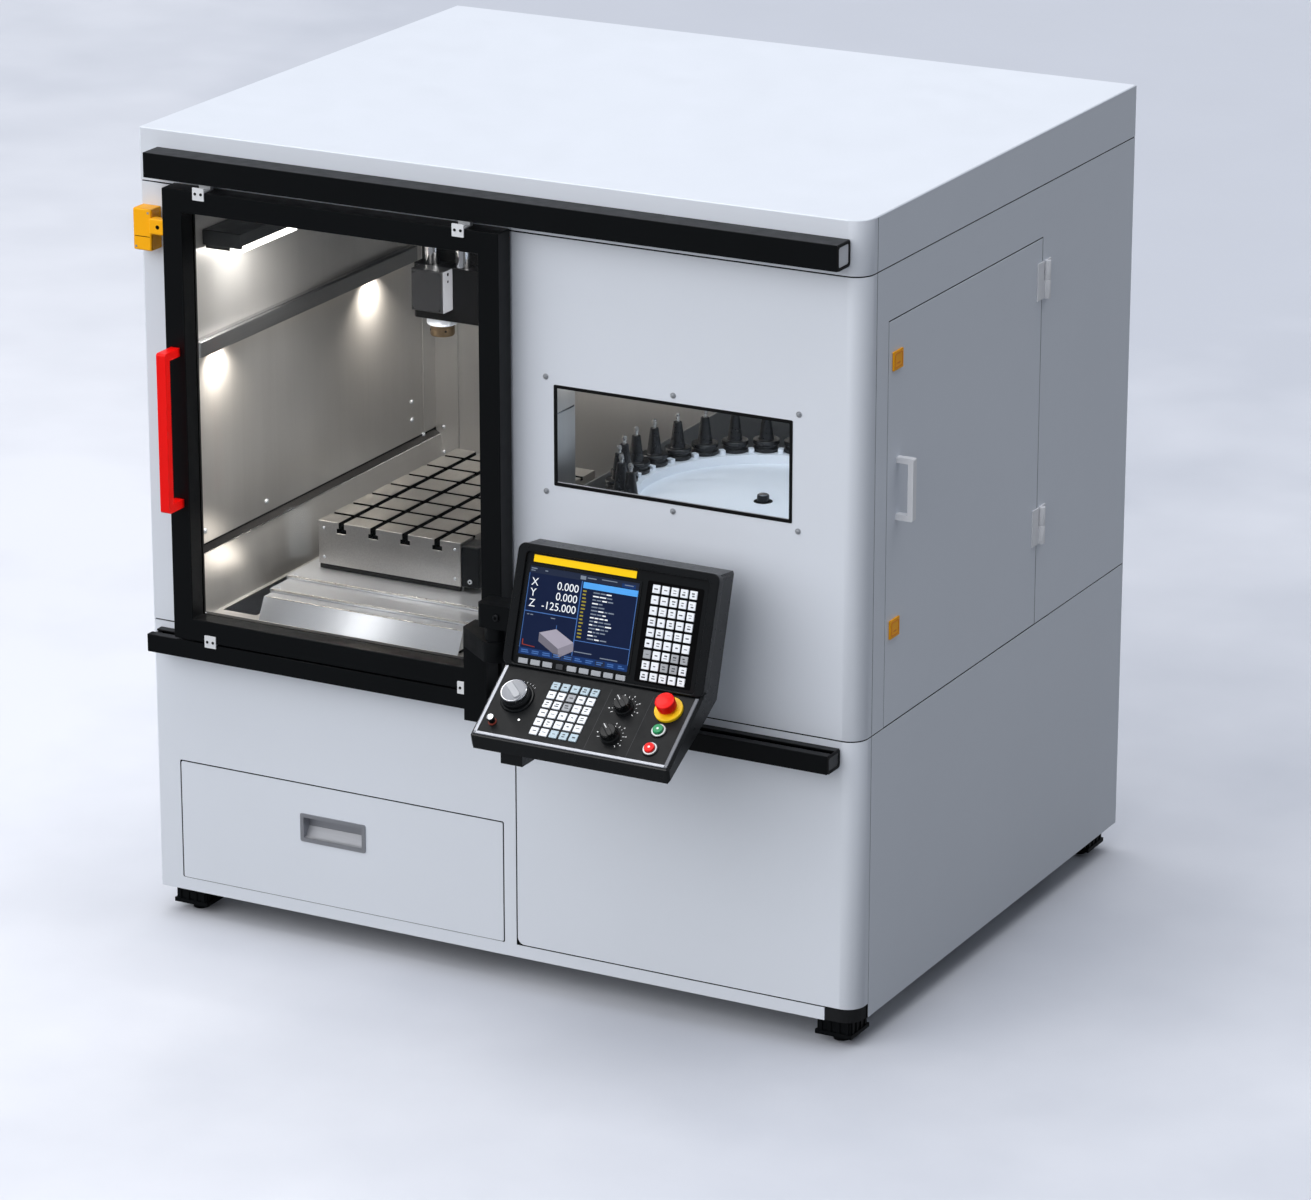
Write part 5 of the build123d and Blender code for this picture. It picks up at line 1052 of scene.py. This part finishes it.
for pocket in range(FIRST_TOOL, LAST_TOOL + 1):
    turn = 2 * math.pi * pocket / POCKETS
    at = hub + Vector((TOOL_CIRCLE * math.cos(turn), TOOL_CIRCLE * math.sin(turn), rim))
    tools.turned(TOOL_PROFILE, at, holder_black, segments=36)
    tools.turned(STUD_PROFILE, at, steel, segments=20)
tools.finish("magazine", "ground_steel", "tool_holders")
grips = Piece("magazine_grippers")
disc_white = FINISH["white_plastic"]
for pocket in range(POCKETS):
    place = spun(hub, 2 * math.pi * (pocket + 0.5) / POCKETS)
    grips.prism(rounded(17, 12, 2, (GRIP_CIRCLE, 0), 2), rim - 1, rim + 9, disc_white, 1, 2, place)
dish = hub + Vector((0, 0, rim - 20))
grips.turned([(13, -2), (13, 12), (12, 14), (4, 14.4)], dish, moulding, segments=40)
grips.turned([(10.5, 14), (10.5, 15), (9.6, 15.6)], dish, chrome, segments=40)
grips.finish("magazine", "white_plastic")

# Fixing screws of the back panel and the left side panel
back_low, back_high = local("back_panel")
side_low, side_high = local("left_side_panel")
SCREW_EDGE, SCREW_RADIUS = 22, 4.5
SCREW_COLUMNS, SCREW_ROWS = 5, 5
fixings = Piece("panel_screws")


def spaced(low, high, count):
    """Evenly spaced places from edge to edge."""
    return [low + SCREW_EDGE + (high - low - 2 * SCREW_EDGE) * step / (count - 1) for step in range(count)]


for row, z in enumerate(spaced(back_low.z, back_high.z, SCREW_ROWS)):
    for column, x in enumerate(spaced(back_low.x, back_high.x, SCREW_COLUMNS)):
        if row in (0, SCREW_ROWS - 1) or column in (0, SCREW_COLUMNS - 1):
            dome_screw(fixings, (x, back_high.y, z), (0, 1, 0), SCREW_RADIUS, screw_zinc)
    for column, y in enumerate(spaced(side_low.y, side_high.y, SCREW_COLUMNS)):
        if row in (0, SCREW_ROWS - 1) or column in (0, SCREW_COLUMNS - 1):
            dome_screw(fixings, (side_low.x, y, z), (-1, 0, 0), SCREW_RADIUS, screw_zinc)
fixings.finish("machine", "cabinet_paint")

# Right side: inset squares of the latch pads
pads = Piece("latch_insets", RIGHT)
pad_low, pad_high = local("latch_pads")
PAD_DEPTH, PAD_HEIGHT = 44, 40
inset_orange = coat("inset_orange", (226, 132, 8), 0.5, 1200, 0.06, 0.03)
level = pad_high.x - pad_low.x
for foot_z in (pad_low.z, pad_high.z - PAD_HEIGHT):
    centre = (pad_low.y + PAD_DEPTH / 2, foot_z + PAD_HEIGHT / 2)
    inner = rounded(30, 26, 3, centre)
    pads.ring(rounded(34, 30, 4, centre), inner, level - 0.6, level + 0.7, inset_orange, 0.4)
    pads.prism(rounded(14, 3, 1.2, (centre[0], centre[1] - 6)), level - 0.6, level + 0.5, inset_orange, 0.2)
pads.finish("service_door", "orange_plastic")

# Dark gaskets in the seams of the panels; deep black strips in the gaps round the drawer, the service door
# and the corner panel are painted shade
SEAM = 3
CORNER = 40
cabinet_depth = local("back_panel")[1].y
waist = local("lower_front_panel")[1].z
crown = local("front_panel")[1].z
CORNER_WRAP = local("front_panel")[1].y
GASKET_TOP = 1.1
GASKET_FIT = 0.15


def plan(inset):
    """Cabinet outline from above, drawn in by a little; only the front corners are round."""
    radius = CORNER - inset
    points = []
    for centre_x, start in ((CORNER, math.pi), (cabinet_width - CORNER, 1.5 * math.pi)):
        for step in range(13):
            turn = start + math.pi / 2 * step / 12
            points.append((centre_x + radius * math.cos(turn), CORNER + radius * math.sin(turn)))
    points += [(cabinet_width - inset, cabinet_depth - inset), (inset, cabinet_depth - inset)]
    return points


joints = Piece("panel_gaskets_and_gap_shade")
for level in (waist, crown):
    joints.ring(plan(GASKET_TOP), plan(SEAM), level + GASKET_FIT, level + SEAM - GASKET_FIT, rubber)
wrap_low, wrap_high = CORNER_WRAP + GASKET_FIT, CORNER_WRAP + SEAM - GASKET_FIT
for near, far in ((GASKET_TOP, SEAM), (cabinet_width - SEAM, cabinet_width - GASKET_TOP)):
    for low_z, high_z in ((0, waist), (waist + SEAM, crown), (crown + SEAM, local("front_fascia")[1].z)):
        joints.block((near, wrap_low, low_z), (far, wrap_high, high_z), rubber, 0)
corner_low = local("corner_panel")[0]
plinth_end = local("lower_front_panel")[1].x
drawer_low, drawer_high = local("chip_drawer")
DRAWER_FOOT_GAP = 1.5
front_gaps = (
    (corner_low.x - SEAM, corner_low.z - SEAM, corner_low.x, waist),
    (corner_low.x, corner_low.z - SEAM, plinth_end, corner_low.z),
    (drawer_low.x - SEAM, drawer_low.z, drawer_low.x, drawer_high.z),
    (drawer_high.x, drawer_low.z, drawer_high.x + SEAM, drawer_high.z),
    (drawer_low.x - SEAM, drawer_high.z, drawer_high.x + SEAM, drawer_high.z + SEAM),
    (drawer_low.x - SEAM, drawer_low.z - DRAWER_FOOT_GAP, drawer_high.x + SEAM, drawer_low.z),
)
# Deep black strips in the drawer's and the corner panel's gaps: painted shade
for x0, z0, x1, z1 in front_gaps:
    joints.block(
        (x0 + GASKET_FIT, GASKET_TOP, z0 + GASKET_FIT), (x1 - GASKET_FIT, SEAM, z1 - GASKET_FIT), black_and_painted_shade, 0
    )
service_low, service_high = local("side_door")
side_gaps = (
    (service_low.y - SEAM, service_low.z, service_low.y, service_high.z),
    (service_high.y, service_low.z, service_high.y + SEAM, service_high.z),
    (service_low.y - SEAM, service_high.z, service_high.y + SEAM, service_high.z + SEAM),
)
# Deep black strips in the service door's gaps: painted shade
for y0, z0, y1, z1 in side_gaps:
    joints.block(
        (cabinet_width - SEAM, y0 + GASKET_FIT, z0 + GASKET_FIT),
        (cabinet_width - GASKET_TOP, y1 - GASKET_FIT, z1 - GASKET_FIT), black_and_painted_shade, 0,
    )
joints.finish("machine", "black_plastic")

# Scoop in the drawer's pull
pull_low, pull_high = local("drawer_pull")
SCOOP_EDGE = 8.7
SCOOP_DEPTH, SCOOP_RISE = 20, 21
scoop_foot = pull_low.z + SCOOP_EDGE
scoop_line = [
    (0.4 + SCOOP_DEPTH * step / 10, scoop_foot + 0.6 + SCOOP_RISE * (step / 10) ** 2) for step in range(11)
]
SIDEWAYS = Matrix(((0, 0, 1, 0), (1, 0, 0, 0), (0, 1, 0, 0), (0, 0, 0, 1)))
scoop = Piece("pull_scoop")
scoop.prism(
    [(0.4, scoop_foot), (0.4 + SCOOP_DEPTH, scoop_foot)] + scoop_line[::-1],
    pull_low.x + SCOOP_EDGE, pull_high.x - SCOOP_EDGE, alloy, 0, 2, SIDEWAYS,
)
scoop.finish("chip_drawer", "alloy")

# Ribs on the feet
feet_low, feet_high = local("levelling_feet")
FOOT_BLOCK, FOOT_FLANGE, FOOT_RISE = 76, 84, 33
FOOT_EDGE = (FOOT_FLANGE - FOOT_BLOCK) / 2
RIBS, RIB_FIRST, RIB_PITCH, RIB_WIDTH, RIB_STAND = 4, 4, 20, 8, 2.6
ribs = Piece("foot_ribs")
for x in (feet_low.x + FOOT_EDGE, feet_high.x - FOOT_EDGE - FOOT_BLOCK):
    for y in (feet_low.y + FOOT_EDGE, feet_high.y - FOOT_EDGE - FOOT_BLOCK):
        for number in range(RIBS):
            start = RIB_FIRST + RIB_PITCH * number
            end = start + RIB_WIDTH
            for near, far in ((-RIB_STAND, 0.5), (FOOT_BLOCK - 0.5, FOOT_BLOCK + RIB_STAND)):
                ribs.block((x + start, y + near, -FOOT_RISE - 1), (x + end, y + far, -2), black, 1)
                ribs.block((x + near, y + start, -FOOT_RISE - 1), (x + far, y + end, -2), black, 1)
ribs.finish("machine", "black_metal")


# Floor
def floor_finish():
    """Pale polished concrete, soft clouds, with painted shade: lighter to the left of the view, darker to
    the right and further back; dimmer to bounced light so that the shaded side stays dark.
    """
    finish = Finish("pale_floor")
    coords = finish.node("TexCoord").outputs["Object"]

    def along(way, *limits):
        """A shade that runs over the floor in one direction."""
        made = finish.node("VectorMath")
        made.operation = "DOT_PRODUCT"
        finish.put(made.inputs[0], coords)
        finish.put(made.inputs[1], way)
        return finish.spread(made.outputs["Value"], *limits)

    fine = finish.noise(2.4, 6)
    # Painted shade on the floor: darker towards the right of the view and further back along it
    painted_side_shade = along((0.88, 0.47, 0), 0.55, 0.25, -1.5, 0.5)
    painted_far_shade = along((-0.47, 0.88, 0), 0, -0.32, 2.5, 8)
    blots = finish.spread(finish.noise(0.9, 4), 0, 0.13)
    wide = finish.sum("ADD", finish.sum("ADD", painted_side_shade, painted_far_shade), blots)
    both = finish.sum("MULTIPLY_ADD", fine, 0.2, wide)
    seen = finish.tint(both, linear(184, 189, 200), linear(219, 222, 230))
    bounced = (0.19, 0.2, 0.212, 1)
    to_camera = finish.node("LightPath").outputs["Is Camera Ray"]
    finish.set(
        Base_Color=finish.mix("RGBA", to_camera, bounced, seen), Specular_IOR_Level=0.12,
        Roughness=finish.spread(fine, 0.4, 0.5),
    )
    finish.bump(finish.noise(30, 3), 0.005, 0.002)
    return finish.material


FLOOR_HALF = 40
floor_mesh = bpy.data.meshes.new("floor")
corners = [(x * FLOOR_HALF, y * FLOOR_HALF, 0) for x, y in ((-1, -1), (1, -1), (1, 1), (-1, 1))]
floor_mesh.from_pydata(corners, [], [(0, 1, 2, 3)])
floor_mesh.materials.append(floor_finish())
floor = bpy.data.objects.new("floor", floor_mesh)
scene.collection.objects.link(floor)

# Light: a broad sun from the front left, another from overhead, a low sky and lamps in the working space
world = bpy.data.worlds.new("studio")
scene.world = world
world.use_nodes = True
sky = world.node_tree
coords = sky.nodes.new("ShaderNodeTexCoord")
height = sky.nodes.new("ShaderNodeSeparateXYZ")
ramp = sky.nodes.new("ShaderNodeValToRGB")
ramp.color_ramp.elements[0].position = 0
ramp.color_ramp.elements[0].color = (0.15, 0.157, 0.172, 1)
ramp.color_ramp.elements[1].position = 0.8
ramp.color_ramp.elements[1].color = (0.42, 0.44, 0.48, 1)
sky.links.new(coords.outputs["Generated"], height.inputs[0])
sky.links.new(height.outputs["Z"], ramp.inputs["Fac"])
sky.links.new(ramp.outputs["Color"], sky.nodes["Background"].inputs["Color"])
sky.nodes["Background"].inputs["Strength"].default_value = 1


def lamp(kind, name, at, aim, energy, colour=(1, 1, 1), **settings):
    """A lamp at a point of the row frame, turned to another."""
    data = bpy.data.lights.new(name, kind)
    data.energy = energy
    data.color = colour
    for key_name, value in settings.items():
        setattr(data, key_name, value)
    made = bpy.data.objects.new(name, data)
    made.location = at
    made.rotation_euler = (Vector(aim) - Vector(at)).to_track_quat("-Z", "Y").to_euler()
    made.visible_camera = False
    scene.collection.objects.link(made)
    return made


front_key = lamp("SUN", "front", (-5, -9.5, 2.2), (0, 0, 0), 3.3, (1, 0.985, 0.97), angle=math.radians(92))
front_key.visible_glossy = False
lamp("SUN", "overhead", (-0.8, 1.2, 10), (0, 0, 0), 2.05, (1, 0.99, 0.98), angle=math.radians(60))
WARM = (1, 0.91, 0.8)
# Area lamps: place and aim in cabinet millimetres, power, colour, size (a disk has one), spread in degrees
AREA_LAMPS = (
    ("work_lamp", (112, 265, lamp_foot - 3), (60, 240, 1200), 4, (1, 0.96, 0.91), (0.05, 0.2), 180),
    ("strip_spot", (84, 190, lights_low.z - 4), (56, 190, 1120), 1.7, WARM, (0.05,), 120),
    ("strip_spot", (84, 830, lights_low.z - 4), (56, 830, 1120), 1.7, WARM, (0.05,), 120),
    ("cabin_side", (890, 330, 1380), (120, 380, 760), 4.2, (1, 0.98, 0.95), (0.4, 0.3), 100),
    ("cabin_front", (420, 60, 1500), (430, 180, 660), 2, (1, 0.97, 0.93), (0.2, 0.08), 180),
    ("guard_spot", (222, 330, 700), (78, 95, 690), 0.02, WARM, (0.09,), 70),
    ("strip_box", (297, -143, 820), (453, 110, 640), 0.1, (1, 1, 1), (0.05, 0.16), 180),
    ("magazine_fill", (1300, 300, 1540), (1290, 420, 990), 2.4, (0.84, 0.93, 1), (0.6, 0.4), 180),
)
for name, at, aim, energy, colour, size, spread in AREA_LAMPS:
    made = lamp(
        "AREA", name, CABINET @ Vector(at), CABINET @ Vector(aim), energy, colour,
        shape="RECTANGLE" if len(size) == 2 else "DISK", size=size[0], size_y=size[-1],
        spread=math.radians(spread),
    )
    made.visible_diffuse = name != "strip_box"

# Camera
EYE = Vector((5.3277, -9.8024, 4.4589))
YAW, PITCH = math.radians(-28.04991), math.radians(18.57224)
gaze = Vector((math.sin(YAW) * math.cos(PITCH), math.cos(YAW) * math.cos(PITCH), -math.sin(PITCH)))
lens = bpy.data.cameras.new("camera")
lens.sensor_fit = "HORIZONTAL"
lens.sensor_width = 36
lens.lens = 150.1
lens.clip_end = 200
camera = bpy.data.objects.new("camera", lens)
camera.location = EYE
camera.rotation_euler = gaze.to_track_quat("-Z", "Y").to_euler()
scene.collection.objects.link(camera)
scene.camera = camera
scene.view_settings.view_transform = "Standard"
